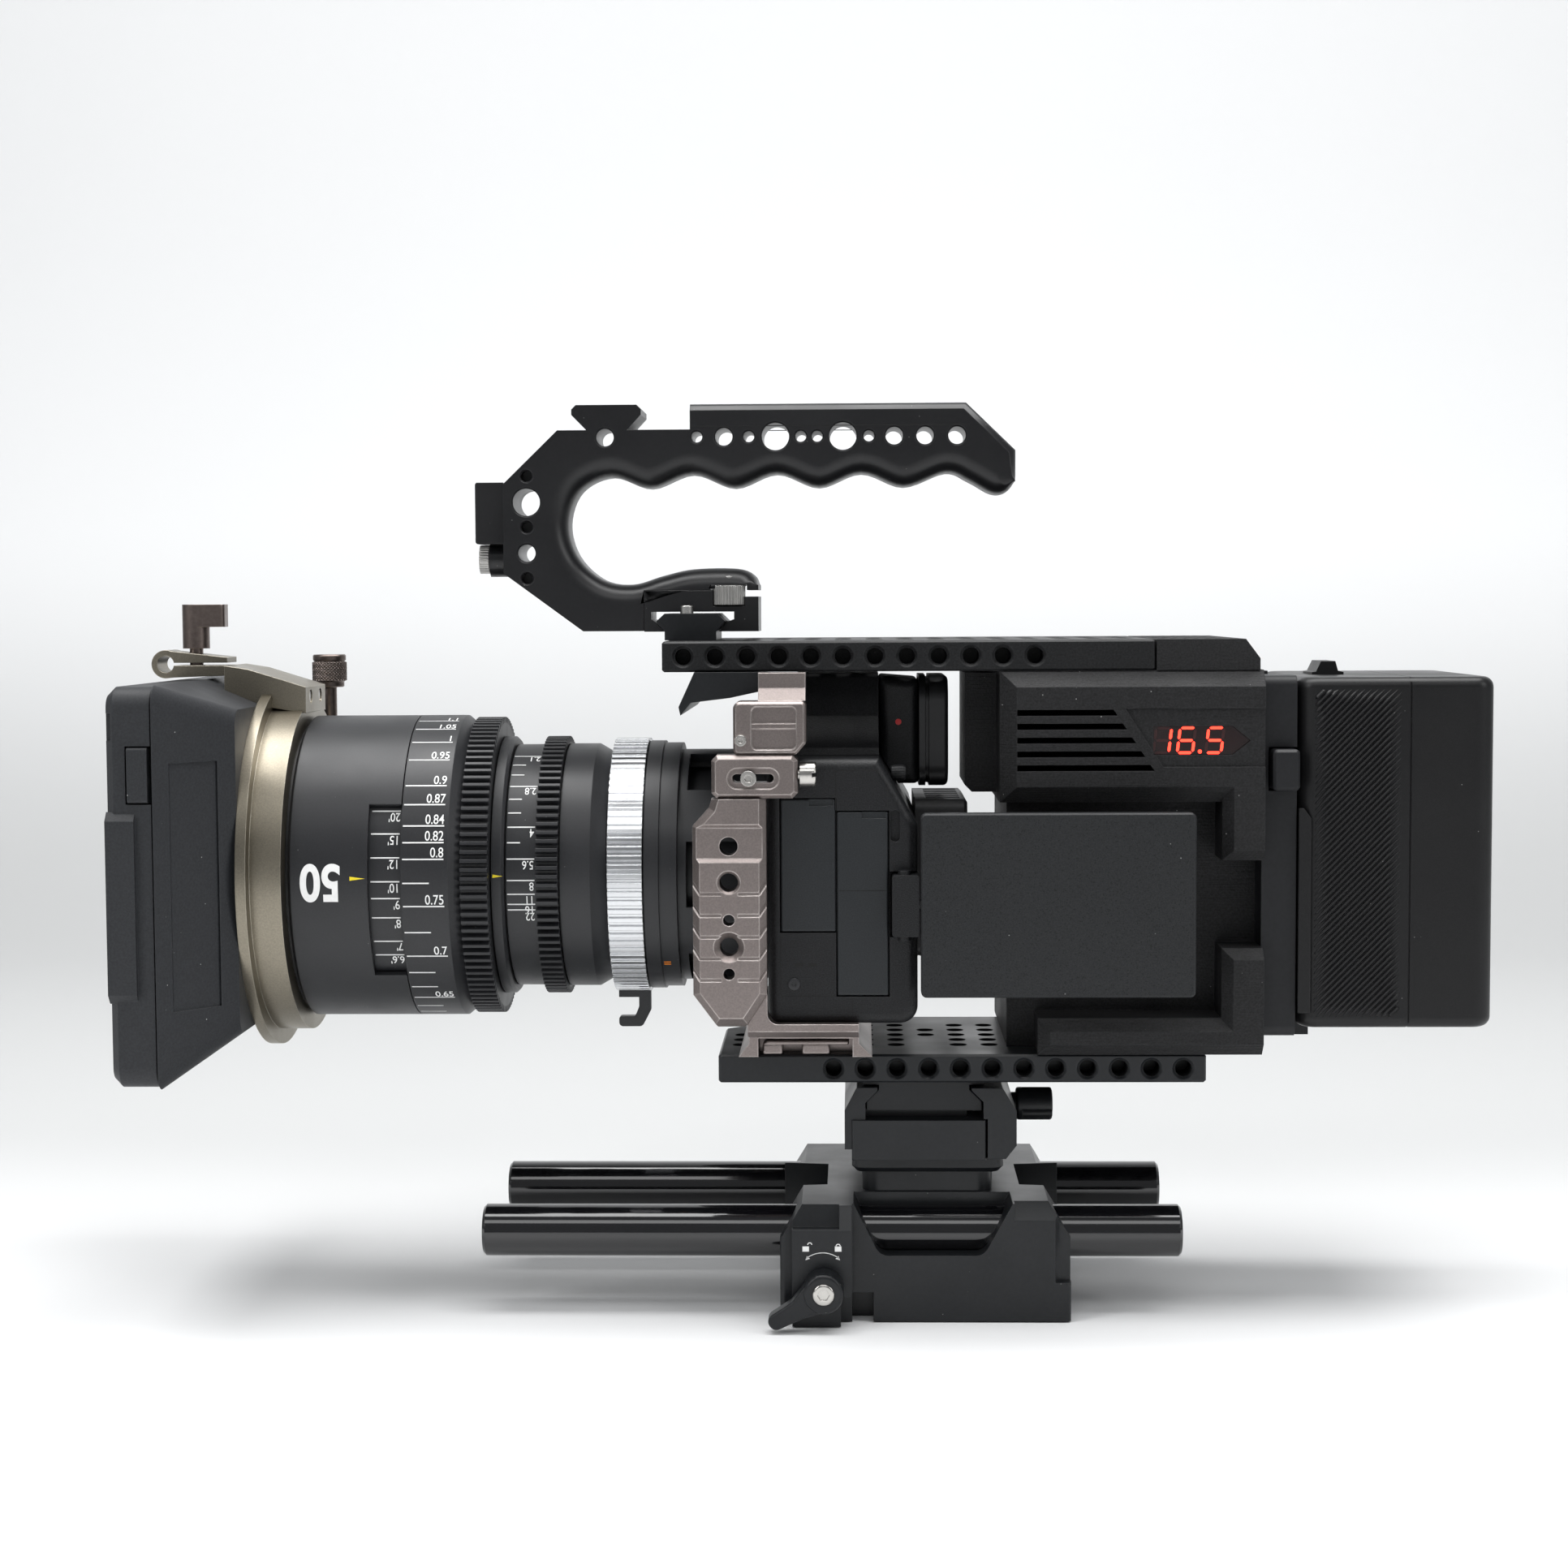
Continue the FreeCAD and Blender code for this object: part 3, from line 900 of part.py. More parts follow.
def battery():
    case = slab("z", BATTERY_X, (-BATTERY_Y, BATTERY_Y), BATTERY_Z, 6.0)
    case = soften(case, 3.0, lambda b: b.ZLength < 0.01)
    head = [(-20.8, 183.0), (-14.2, 119.0), (14.2, 119.0), (20.8, 183.0)]
    neck = [(-17.8, 183.0), (-11.2, 119.0), (11.2, 119.0), (17.8, 183.0)]
    wedge = prism("x", head, (98.8, 102.5)).fuse(prism("x", neck, (102.5, BATTERY_X[0] + 1)))
    cuts = [box((BATTERY_X[0] + 2.5, BATTERY_X[1] - 2.5), (-BATTERY_Y + 2.5, BATTERY_Y - 2.5),
                (BATTERY_Z[0] + 2.5, BATTERY_Z[1] - 4.5))]
    cuts.append(box((114.0, 124.0), (-8.3, 8.3), (BATTERY_Z[1] - 3.3, BATTERY_Z[1] + 1)))
    ring = box((137.1, 137.6), (-BATTERY_Y - 1, BATTERY_Y + 1), (BATTERY_Z[0] - 1, BATTERY_Z[1] + 1))
    ring = ring.cut(box((137.0, 138.0), (-BATTERY_Y + 0.5, BATTERY_Y - 0.5),
                        (BATTERY_Z[0] + 0.5, BATTERY_Z[1] - 0.5)))
    save("battery_case", case.fuse(wedge).cut(cuts + [ring]))

    tab = prism("y", [(114.4, 181.6), (123.6, 181.6), (123.6, 184.2), (122.0, 184.6), (121.2, 187.4),
                      (117.0, 187.4), (115.6, 184.4), (114.4, 184.2)], (-8.0, 8.0))
    save("battery_button", tab)

    cells = []
    for x in (120.0, 139.0):
        for row in range(4):
            z = BATTERY_Z[0] + 14.0 + row * 2.1 * CELL_R
            cells.append(cylinder("y", CELL_R, (-CELL_LENGTH / 2, CELL_LENGTH / 2), x + 1, z))
    save("battery_cells", Part.makeCompound(cells))


# ----------------------------------------------------------------- fasteners

def socket_screw(axis, head_r, head, shank_r, shank, a, b, key):
    """Cap screw with a hexagon socket in the end of its head that faces away from its shank."""
    screw = cylinder(axis, head_r, head, a, b).fuse(cylinder(axis, shank_r, shank, a, b))
    outer = head[0] if shank[0] >= head[1] - 0.01 else head[1]
    inner = outer + (1.0 if outer == head[0] else -1.0)
    sixth = math.pi / 3
    hexagon = [(a + key * math.cos(sixth * i), b + key * math.sin(sixth * i)) for i in range(6)]
    return screw.cut(prism(axis, hexagon, sorted((outer, inner))))


def fasteners():
    screws = [socket_screw("y", 2.2, (-58.8, -57.0), 1.1, (-57.0, -50.6), -49.2, 156.7, 1.1)]
    screws.append(socket_screw("y", 1.55, (-57.9, -56.4), 0.8, (-56.4, -52.4), -51.3, 167.2, 0.7))
    for y in (-7.0, 7.0):
        screws.append(cylinder("x", 2.0, (-182.4, -181.3), y, 178.3))
    for y in (-16.0, 16.0):
        screws.append(socket_screw("z", 3.1, (60.0, 64.0), 2.5, (64.0, 72.0), 0, y, 1.8))
    save("rig_screws", Part.makeCompound(screws))


os.makedirs("parts", exist_ok=True)
rod_base()
rods()
clamp_lever()
quick_release()
lower_plate()
upper_plate()
cage_foot()
side_plate()
cage_clamps()
camera_body()
eyepiece()
port_door("port_door_front", FRONT_DOOR)
port_door("port_door_rear", REAR_DOOR)
screen()
camera_inside()
rear_fan()
power_lead()
lens_front()
lens_rear()
lens_elements()
lens_adapter()
matte_box()
matte_clamp()
handle()
nato_clamp()
module_housing()
v_mount()
battery()
fasteners()
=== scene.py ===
"""Looks of the cinema camera rig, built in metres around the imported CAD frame."""
import json
import math

import bmesh
import bpy
from mathutils import Matrix, Vector


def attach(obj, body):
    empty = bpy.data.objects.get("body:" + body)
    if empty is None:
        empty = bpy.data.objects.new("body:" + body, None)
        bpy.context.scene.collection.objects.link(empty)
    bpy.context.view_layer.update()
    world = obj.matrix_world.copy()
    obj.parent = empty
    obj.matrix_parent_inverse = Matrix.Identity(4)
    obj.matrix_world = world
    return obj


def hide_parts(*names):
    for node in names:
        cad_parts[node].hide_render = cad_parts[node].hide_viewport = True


MM = 0.001
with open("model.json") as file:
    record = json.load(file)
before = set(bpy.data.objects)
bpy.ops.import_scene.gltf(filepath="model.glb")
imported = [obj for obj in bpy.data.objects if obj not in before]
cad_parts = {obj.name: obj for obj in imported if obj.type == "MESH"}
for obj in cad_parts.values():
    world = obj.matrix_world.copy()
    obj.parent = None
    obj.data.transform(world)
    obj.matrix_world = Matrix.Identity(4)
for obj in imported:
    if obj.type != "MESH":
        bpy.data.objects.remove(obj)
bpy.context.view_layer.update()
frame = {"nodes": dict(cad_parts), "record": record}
nodes = frame["nodes"]

# Millimetres, like every length up to piece(). Lens: optical axis height and radii of its surfaces.
AXIS_Z = 127.5
BARREL_R = 44.8
SLEEVE_R = 42.8
DIAL_R = 36.0
INDEX_R = 38.4
ADAPTER_R = 36.4

# Flat faces that carry details, by their Y.
CAMERA_FACE_Y = -50.0
CLAMP_FACE_Y = -49.0
DISPLAY_FACE_Y = -42.2

# Thickness of the printed marks on the lens, and of the drawn seams.
INK = 0.05
SEAM_LIFT = 0.03

# Handle: half width, chamfer of its cover, radii and depths of its holes.
HANDLE_HALF = 11.0
COVER_CHAMFER = 1.9
PIN_R = 1.6
THREAD_R = 2.55
WIDE_THREAD_R = 4.0
THROUGH = 2 * HANDLE_HALF
BLIND = 6.0

# Edge holes of the drilled plates.
HOLE_PITCH = 9.05
HOLES_PER_ROW = 12

BATTERY_HALF = 38.0

# Each face's two drawing directions and its outward direction.
FACES = {"-y": (Vector((1, 0, 0)), Vector((0, 0, 1)), Vector((0, -1, 0))),
         "+y": (Vector((-1, 0, 0)), Vector((0, 0, 1)), Vector((0, 1, 0))),
         "+x": (Vector((0, 1, 0)), Vector((0, 0, 1)), Vector((1, 0, 0))),
         "-x": (Vector((0, -1, 0)), Vector((0, 0, 1)), Vector((-1, 0, 0))),
         "+z": (Vector((1, 0, 0)), Vector((0, 1, 0)), Vector((0, 0, 1)))}


# ---------------------------------------------------------------- materials

class Graph:
    """Short-hand for wiring one material's nodes."""

    def __init__(self, name):
        self.material = bpy.data.materials.new(name)
        self.material.use_nodes = True
        self.tree = self.material.node_tree
        self.shader = self.tree.nodes["Principled BSDF"]
        self.place = self.add("ShaderNodeTexCoord").outputs["Object"]

    def add(self, kind, **settings):
        node = self.tree.nodes.new(kind)
        for key, value in settings.items():
            setattr(node, key, value)
        return node

    def link(self, source, target):
        self.tree.links.new(source, target)

    def noise(self, scale, detail=2.0, stretch=None):
        node = self.add("ShaderNodeTexNoise")
        node.inputs["Scale"].default_value = scale
        node.inputs["Detail"].default_value = detail
        if stretch is None:
            self.link(self.place, node.inputs["Vector"])
        else:
            mapping = self.add("ShaderNodeMapping")
            mapping.inputs["Scale"].default_value = stretch
            self.link(self.place, mapping.inputs["Vector"])
            self.link(mapping.outputs["Vector"], node.inputs["Vector"])
        return node.outputs["Fac"]

    def spots(self, scale):
        node = self.add("ShaderNodeTexVoronoi")
        node.inputs["Scale"].default_value = scale
        self.link(self.place, node.inputs["Vector"])
        return node

    def ranged(self, source, low, high, to_low, to_high):
        node = self.add("ShaderNodeMapRange")
        for key, value in (("From Min", low), ("From Max", high), ("To Min", to_low), ("To Max", to_high)):
            node.inputs[key].default_value = value
        self.link(source, node.inputs["Value"])
        return node.outputs["Result"]

    def product(self, first, second):
        node = self.add("ShaderNodeMath", operation="MULTIPLY")
        self.link(first, node.inputs[0])
        self.link(second, node.inputs[1])
        return node.outputs["Value"]

    def mixed(self, factor, first, second):
        node = self.add("ShaderNodeMix", data_type="RGBA")
        self.link(factor, node.inputs["Factor"])
        for socket, value in ((node.inputs[6], first), (node.inputs[7], second)):
            if isinstance(value, tuple):
                socket.default_value = (*value, 1.0)
            else:
                self.link(value, socket)
        return node.outputs[2]


def finish(name, colour, rough, metallic=0.0, grain=900.0, bump=0.15, spread=0.06, tone=0.12,
           edge=0.00035, wear_and_highlight=0.35, wear_and_highlight_colour=None, coat=0.0, specular=0.5, dust=0.0, speckle=None,
           layers=0.0, brushed=None):
    """Procedural finish: grain, uneven gloss and tone, soft edges that are painted lighter (partly rubbed
    metal, partly painted highlight), dust.

    speckle is (scale, size, tone of the specks); layers adds printed layer lines of that scale.
    """
    g = Graph(name)
    shader = g.shader
    shader.inputs["Metallic"].default_value = metallic
    shader.inputs["Specular IOR Level"].default_value = specular
    if coat:
        shader.inputs["Coat Weight"].default_value = coat
        shader.inputs["Coat Roughness"].default_value = 0.06
    broad = g.noise(45.0, 3.0)
    fine = g.noise(grain, 2.0, brushed)
    g.link(g.ranged(broad, 0.3, 0.7, rough - spread, rough + spread), shader.inputs["Roughness"])

    dark = tuple(c * (1 - tone) for c in colour)
    light = tuple(c * (1 + tone) for c in colour)
    shade = g.mixed(g.ranged(fine, 0.3, 0.7, 0.0, 1.0), dark, light)
    if speckle is not None:
        scale, size, darker = speckle
        fleck = g.spots(scale)
        chosen = g.ranged(fleck.outputs["Distance"], size, size + 0.08, 1.0, 0.0)
        kept = g.ranged(g.noise(scale * 0.6), 0.48, 0.56, 0.0, 1.0)
        shade = g.mixed(g.product(chosen, kept), shade, tuple(c * darker for c in colour))

    soft = g.add("ShaderNodeBevel", samples=4)
    soft.inputs["Radius"].default_value = edge
    flat = g.add("ShaderNodeNewGeometry")
    turn = g.add("ShaderNodeVectorMath", operation="DOT_PRODUCT")
    g.link(soft.outputs["Normal"], turn.inputs[0])
    g.link(flat.outputs["Normal"], turn.inputs[1])
    # Painted highlight and wear: edges that turn away from the flat face get a lighter colour, standing in
    # for lit bevels as well as rubbed edges.
    rim = g.ranged(turn.outputs["Value"], 0.995, 0.88, 0.0, wear_and_highlight)
    patchy = g.product(rim, g.ranged(g.noise(180.0, 3.0), 0.35, 0.65, 0.3, 1.0))
    rubbed_and_lit_edge = wear_and_highlight_colour or tuple(min(1.0, c * 2.2 + 0.02) for c in colour)
    shade = g.mixed(patchy, shade, rubbed_and_lit_edge)
    if dust:
        mote = g.spots(330.0)
        small = g.ranged(mote.outputs["Distance"], 0.035, 0.06, dust, 0.0)
        rare = g.ranged(g.noise(160.0, 1.0), 0.56, 0.6, 0.0, 1.0)
        shade = g.mixed(g.product(small, rare), shade, (0.55, 0.55, 0.54))
    g.link(shade, shader.inputs["Base Color"])

    height = fine
    if layers:
        lines = g.noise(1.0, 1.0, (90.0, 90.0, layers))
        mix = g.add("ShaderNodeMath", operation="ADD")
        g.link(fine, mix.inputs[0])
        g.link(lines, mix.inputs[1])
        height = mix.outputs["Value"]
    relief = g.add("ShaderNodeBump")
    relief.inputs["Strength"].default_value = bump
    relief.inputs["Distance"].default_value = 0.0002
    g.link(height, relief.inputs["Height"])
    g.link(soft.outputs["Normal"], relief.inputs["Normal"])
    g.link(relief.outputs["Normal"], shader.inputs["Normal"])
    return g.material


def glowing(name, colour, strength):
    g = Graph(name)
    g.shader.inputs["Base Color"].default_value = (*colour, 1.0)
    g.shader.inputs["Emission Color"].default_value = (*colour, 1.0)
    g.shader.inputs["Emission Strength"].default_value = strength
    g.link(g.ranged(g.noise(900.0), 0.3, 0.7, 0.3, 0.4), g.shader.inputs["Roughness"])
    return g.material


def glassy(name, colour, rough):
    g = Graph(name)
    g.shader.inputs["Base Color"].default_value = (*colour, 1.0)
    g.shader.inputs["Transmission Weight"].default_value = 0.9
    g.shader.inputs["IOR"].default_value = 1.6
    g.shader.inputs["Coat Weight"].default_value = 0.4
    g.link(g.ranged(g.noise(60.0), 0.3, 0.7, rough, rough + 0.03), g.shader.inputs["Roughness"])
    return g.material


# Each finish's edge settings make its edges lighter: partly rubbed metal, partly painted highlight on the
# bevels; strongest on the titanium and champagne parts.
LOOKS = {
    "black_anodised": finish("black_anodised", (0.0085, 0.0095, 0.011), 0.34, specular=0.32, bump=0.06,
                             wear_and_highlight=0.45, dust=0.25),
    "handle_black": finish("handle_black", (0.007, 0.007, 0.008), 0.33, specular=0.4, bump=0.05, wear_and_highlight=0.4,
                           dust=0.2),
    "plate_black": finish("plate_black", (0.0075, 0.0078, 0.0085), 0.42, specular=0.26, grain=1800.0,
                          bump=0.4, tone=0.6, wear_and_highlight=0.5),
    "rod_black": finish("rod_black", (0.004, 0.004, 0.005), 0.11, bump=0.01, spread=0.03, coat=0.5,
                        wear_and_highlight=0.2),
    "titanium_anodised": finish("titanium_anodised", (0.235, 0.203, 0.193), 0.36, metallic=1.0,
                                grain=2200.0, bump=0.08, tone=0.1, edge=0.0005, wear_and_highlight=0.9,
                                wear_and_highlight_colour=(0.78, 0.72, 0.69)),
    "champagne_aluminium": finish("champagne_aluminium", (0.235, 0.212, 0.168), 0.36, metallic=1.0,
                                  grain=2200.0, bump=0.06, tone=0.1, wear_and_highlight=0.7,
                                  wear_and_highlight_colour=(0.66, 0.62, 0.53)),
    "gunmetal": finish("gunmetal", (0.17, 0.138, 0.125), 0.33, metallic=1.0, bump=0.04, wear_and_highlight=0.5,
                       wear_and_highlight_colour=(0.5, 0.44, 0.4)),
    "polished_aluminium": finish("polished_aluminium", (0.62, 0.63, 0.645), 0.2, metallic=1.0, bump=0.02,
                                 tone=0.03, wear_and_highlight=0.1),
    "satin_silver": finish("satin_silver", (0.5, 0.49, 0.47), 0.3, metallic=1.0, bump=0.03, tone=0.05,
                           wear_and_highlight=0.2),
    "stainless": finish("stainless", (0.5, 0.485, 0.46), 0.24, metallic=1.0, bump=0.02, tone=0.05,
                        wear_and_highlight=0.2),
    "camera_paint": finish("camera_paint", (0.0072, 0.0075, 0.0085), 0.43, specular=0.28, grain=2600.0,
                           bump=0.55, tone=0.7, wear_and_highlight=0.3),
    "lens_black": finish("lens_black", (0.013, 0.0135, 0.0155), 0.42, specular=0.45, grain=2200.0,
                         bump=0.04, tone=0.15, wear_and_highlight=0.35, dust=0.2),
    "door_plastic": finish("door_plastic", (0.0125, 0.0145, 0.0165), 0.38, specular=0.34, grain=2600.0,
                           bump=0.1, tone=0.25, edge=0.0003, wear_and_highlight=0.5),
    "grip_rubber": finish("grip_rubber", (0.014, 0.014, 0.015), 0.6, grain=520.0, bump=0.8, tone=0.4,
                          wear_and_highlight=0.2),
    "eyecup_rubber": finish("eyecup_rubber", (0.009, 0.009, 0.01), 0.38, bump=0.05, wear_and_highlight=0.2, dust=0.3),
    "lead_rubber": finish("lead_rubber", (0.006, 0.006, 0.007), 0.2, bump=0.03, wear_and_highlight=0.1),
    "screen_plastic": finish("screen_plastic", (0.014, 0.015, 0.0163), 0.46, specular=0.28, grain=2400.0,
                             bump=0.3, tone=0.3, wear_and_highlight=0.5, speckle=(1500.0, 0.3, 0.45), dust=0.5),
    "fan_plastic": finish("fan_plastic", (0.03, 0.03, 0.031), 0.5, bump=0.1),
    "hood_plastic": finish("hood_plastic", (0.02, 0.0213, 0.024), 0.5, specular=0.32, grain=1600.0,
                           bump=0.2, tone=0.2, wear_and_highlight=0.4, dust=0.8),
    "printed_plastic": finish("printed_plastic", (0.009, 0.009, 0.0097), 0.58, specular=0.28,
                              grain=1700.0, bump=0.7, tone=0.6, wear_and_highlight=0.6, dust=0.6, layers=2600.0),
    "mount_plastic": finish("mount_plastic", (0.01, 0.0105, 0.012), 0.45, specular=0.28, bump=0.12,
                            wear_and_highlight=0.3),
    "battery_plastic": finish("battery_plastic", (0.0068, 0.0068, 0.0073), 0.38, specular=0.28,
                              grain=2400.0, bump=0.1, tone=0.2, wear_and_highlight=0.25, dust=0.3),
    "display_window": finish("display_window", (0.012, 0.003, 0.003), 0.12, bump=0.0, wear_and_highlight=0.1, coat=0.6),
    "coated_glass": glassy("coated_glass", (0.72, 0.8, 0.95), 0.0),
    "circuit": finish("circuit", (0.01, 0.08, 0.04), 0.4, bump=0.1),
    "cell_steel": finish("cell_steel", (0.35, 0.36, 0.38), 0.4, metallic=1.0),
}
ENAMEL = finish("white_enamel", (0.86, 0.86, 0.85), 0.5, bump=0.03, tone=0.03, wear_and_highlight=0.0)
YELLOW = finish("yellow_enamel", (0.86, 0.68, 0.01), 0.5, bump=0.03, tone=0.03, wear_and_highlight=0.0)
ORANGE = finish("orange_enamel", (0.8, 0.22, 0.01), 0.5, bump=0.03, tone=0.03, wear_and_highlight=0.0)
RED = finish("red_enamel", (0.6, 0.02, 0.02), 0.45, bump=0.03, tone=0.03, wear_and_highlight=0.0)
SEAM = finish("seam_shadow", (0.002, 0.002, 0.002), 0.8, bump=0.02, wear_and_highlight=0.0)
LIT = glowing("segment_lit", (1.0, 0.03, 0.015), 5.0)
# The unlit segments also carry a very faint painted glow.
UNLIT = glowing("segment_unlit", (0.03, 0.004, 0.004), 0.05)
GLASS_BLACK = finish("display_glass", (0.004, 0.004, 0.006), 0.08, bump=0.0, wear_and_highlight=0.05, coat=0.8)


def dress_cad():
    for entry in frame["record"]["subparts"]:
        mesh = nodes[entry["node"]].data
        mesh.materials.clear()
        mesh.materials.append(LOOKS[entry["material_slot"]])


# ------------------------------------------------------------------- shapes

def piece(name, bm, look, body, smooth=True, edge=0.0):
    """Turn a millimetre bmesh into a piece that rides on a body."""
    bmesh.ops.recalc_face_normals(bm, faces=bm.faces)
    bmesh.ops.scale(bm, vec=(MM, MM, MM), verts=bm.verts)
    mesh = bpy.data.meshes.new(name)
    bm.to_mesh(mesh)
    bm.free()
    mesh.materials.append(look)
    obj = bpy.data.objects.new(name, mesh)
    bpy.context.scene.collection.objects.link(obj)
    if edge:
        soft = obj.modifiers.new("edges", "BEVEL")
        soft.width = edge * MM
        soft.segments = 2
        soft.limit_method = "ANGLE"
        soft.angle_limit = math.radians(35)
    if smooth:
        bpy.context.view_layer.objects.active = obj
        obj.select_set(True)
        bpy.ops.object.shade_smooth_by_angle(angle=math.radians(35))
        obj.select_set(False)
    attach(obj, body)
    return obj


def add_prism(bm, outline, base, height, face):
    """Extrude an outline given in a face's own two directions, outward from base."""
    along, upward, outward = FACES[face]
    rings = []
    for lift in (0.0, height):
        rings.append([bm.verts.new(base + along * u + upward * v + outward * lift) for u, v in outline])
    bm.faces.new(rings[0])
    bm.faces.new(rings[1])
    bridge(bm, *rings)


def circle(radius, count):
    angles = [2 * math.pi * i / count for i in range(count)]
    return [(radius * math.cos(angle), radius * math.sin(angle)) for angle in angles]


def box_outline(width, height):
    u, v = width / 2, height / 2
    return [(-u, -v), (u, -v), (u, v), (-u, v)]


def bridge(bm, low, high):
    """Band of quads between two closed rings of equal length."""
    for i in range(len(low)):
        j = (i + 1) % len(low)
        bm.faces.new((low[i], low[j], high[j], high[i]))


def add_lathe(bm, profile, base, face, count=64, ripple=None):
    """Turn (radius, height) pairs about a face's outward direction.

    ripple(i, j, radius) reshapes the radius at turn step i of profile point j.
    """
    along, upward, outward = FACES[face]
    rings = []
    for j, (radius, lift) in enumerate(profile):
        ring = []
        for i in range(count):
            r = ripple(i, j, radius) if ripple else radius
            turn = 2 * math.pi * i / count
            ring.append(bm.verts.new(base + along * (r * math.cos(turn)) + upward * (r * math.sin(turn))
                                     + outward * lift))
        rings.append(ring)
    for low, high in zip(rings, rings[1:]):
        bridge(bm, low, high)
    bm.faces.new(rings[0])
    bm.faces.new(rings[-1])


def add_screw(bm, base, face, radius, height, key):
    """Cap screw head with rounded rim and a sunk hexagon."""
    along, upward, outward = FACES[face]
    profile = [(radius, 0.0), (radius, height * 0.7), (radius * 0.93, height * 0.92),
               (radius * 0.82, height), (key * 1.12, height)]
    count = 48
    rings = []
    for r, lift in profile:
        centre = base + outward * lift
        rings.append([bm.verts.new(centre + along * u + upward * v) for u, v in circle(r, count)])
    sixth = math.pi / 3
    for lift in (height, height * 0.35):
        ring = []
        for u, v in circle(1.0, count):
            turn = math.atan2(v, u) % sixth - sixth / 2
            r = key * math.cos(sixth / 2) / math.cos(turn)
            ring.append(bm.verts.new(base + along * (u * r) + upward * (v * r) + outward * lift))
        rings.append(ring)
    for low, high in zip(rings, rings[1:]):
        bridge(bm, low, high)
    bm.faces.new(rings[0])
    bm.faces.new(rings[-1])


# ---------------------------------------------------------------- lens marks

def lens_point(x, angle, radius):
    turn = math.radians(angle)
    return Vector((x, -radius * math.cos(turn), AXIS_Z + radius * math.sin(turn)))


def add_wrapped_quad(bm, x0, x1, low, high, radius):
    """Thin raised patch on the lens between two X positions and two angles."""
    steps = max(1, int(abs(high - low) / 3) + 1)
    inner, outer = [], []
    for i in range(steps + 1):
        angle = low + (high - low) * i / steps
        for x in (x0, x1):
            inner.append(bm.verts.new(lens_point(x, angle, radius - 0.02)))
            outer.append(bm.verts.new(lens_point(x, angle, radius + INK)))
    for i in range(steps):
        a, b, c, d = 2 * i, 2 * i + 1, 2 * i + 3, 2 * i + 2
        bm.faces.new((outer[a], outer[b], outer[c], outer[d]))
        bm.faces.new((inner[d], inner[c], inner[b], inner[a]))
        bm.faces.new((outer[a], outer[d], inner[d], inner[a]))
        bm.faces.new((outer[b], inner[b], inner[c], outer[c]))
    end = 2 * steps
    bm.faces.new((outer[0], inner[0], inner[1], outer[1]))
    bm.faces.new((outer[end], outer[end + 1], inner[end + 1], inner[end]))


def add_text(bm, words, x, angle, size, radius, flip=False, narrow=0.8, align="CENTER", bold=0.0):
    """Numbers wrapped round the lens; x and angle place the middle of the text's height."""
    curve = bpy.data.curves.new("words", "FONT")
    curve.body = words
    curve.size = size
    curve.align_x = align
    curve.align_y = "CENTER"
    curve.extrude = 0.035
    curve.offset = bold
    carrier = bpy.data.objects.new("words", curve)
    bpy.context.scene.collection.objects.link(carrier)
    bpy.context.view_layer.update()
    evaluated = carrier.evaluated_get(bpy.context.evaluated_depsgraph_get())
    mesh = bpy.data.meshes.new_from_object(evaluated)
    bpy.data.objects.remove(carrier)
    bpy.data.curves.remove(curve)
    local = bmesh.new()
    local.from_mesh(mesh)
    bpy.data.meshes.remove(mesh)
    rows = int(size / 1.5)
    for k in range(-rows, rows + 1):
        geometry = local.verts[:] + local.edges[:] + local.faces[:]
        bmesh.ops.bisect_plane(local, geom=geometry, plane_co=(0, k * 0.75, 0), plane_no=(0, 1, 0))
    way = -1.0 if flip else 1.0
    for vert in local.verts:
        u, v, w = vert.co
        turn = angle + math.degrees(way * v / radius)
        vert.co = lens_point(x + way * u * narrow, turn, radius + 0.03 + w)
    mapping = {vert: bm.verts.new(vert.co) for vert in local.verts}
    for face in local.faces:
        bm.faces.new([mapping[vert] for vert in face.verts])
    local.free()


def add_line(bm, x0, x1, angle, width, radius):
    """Printed line along the lens; width is in degrees."""
    add_wrapped_quad(bm, x0, x1, angle - width / 2, angle + width / 2, radius)


def focus_scales():
    """Metric scale on the ring, and the scale in feet seen through the barrel's window."""
    thick, left, middle, right = 0.52, -148.2, -140.6, -136.4
    metres = (("1.05", 67.4), ("1", 57.7), ("0.95", 47.6), ("0.9", 35.6), ("0.87", 27.8), ("0.84", 19.6),
              ("0.82", 13.4), ("0.8", 7.3), ("0.75", -10.0), ("0.7", -30.4), ("0.65", -54.2), ("1.1", 76.0),
              ("1.2", 93.0), ("1.5", 118.0), ("2", 146.0), ("3", 171.0))
    bm = bmesh.new()
    for words, angle in metres:
        add_line(bm, left, right, angle, thick, BARREL_R)
        add_text(bm, words, right, angle + 2.3, 4.0, BARREL_R, align="RIGHT", bold=0.02)
    for angle in (-1.4, -20.2, -38.5, -46.7, -62.0, -70.0):
        add_line(bm, left, middle, angle, thick, BARREL_R)
    piece("focus_metric_marks", bm, ENAMEL, "focus", smooth=False)

    left, right = -157.6, -149.3
    feet = (("30'", 35.5), ("20'", 26.3), ("15'", 17.2), ("12'", 8.0), ("10'", -1.1), ("9'", -7.6),
            ("8'", -15.3), ("7'", -25.4), ("6.6'", -31.8))
    bm = bmesh.new()
    for words, angle in feet:
        add_line(bm, left, right, angle, thick, SLEEVE_R)
        add_text(bm, words, right, angle - 2.3, 3.7, SLEEVE_R, flip=True, align="LEFT", bold=0.02)
    piece("focus_feet_marks", bm, ENAMEL, "focus", smooth=False)


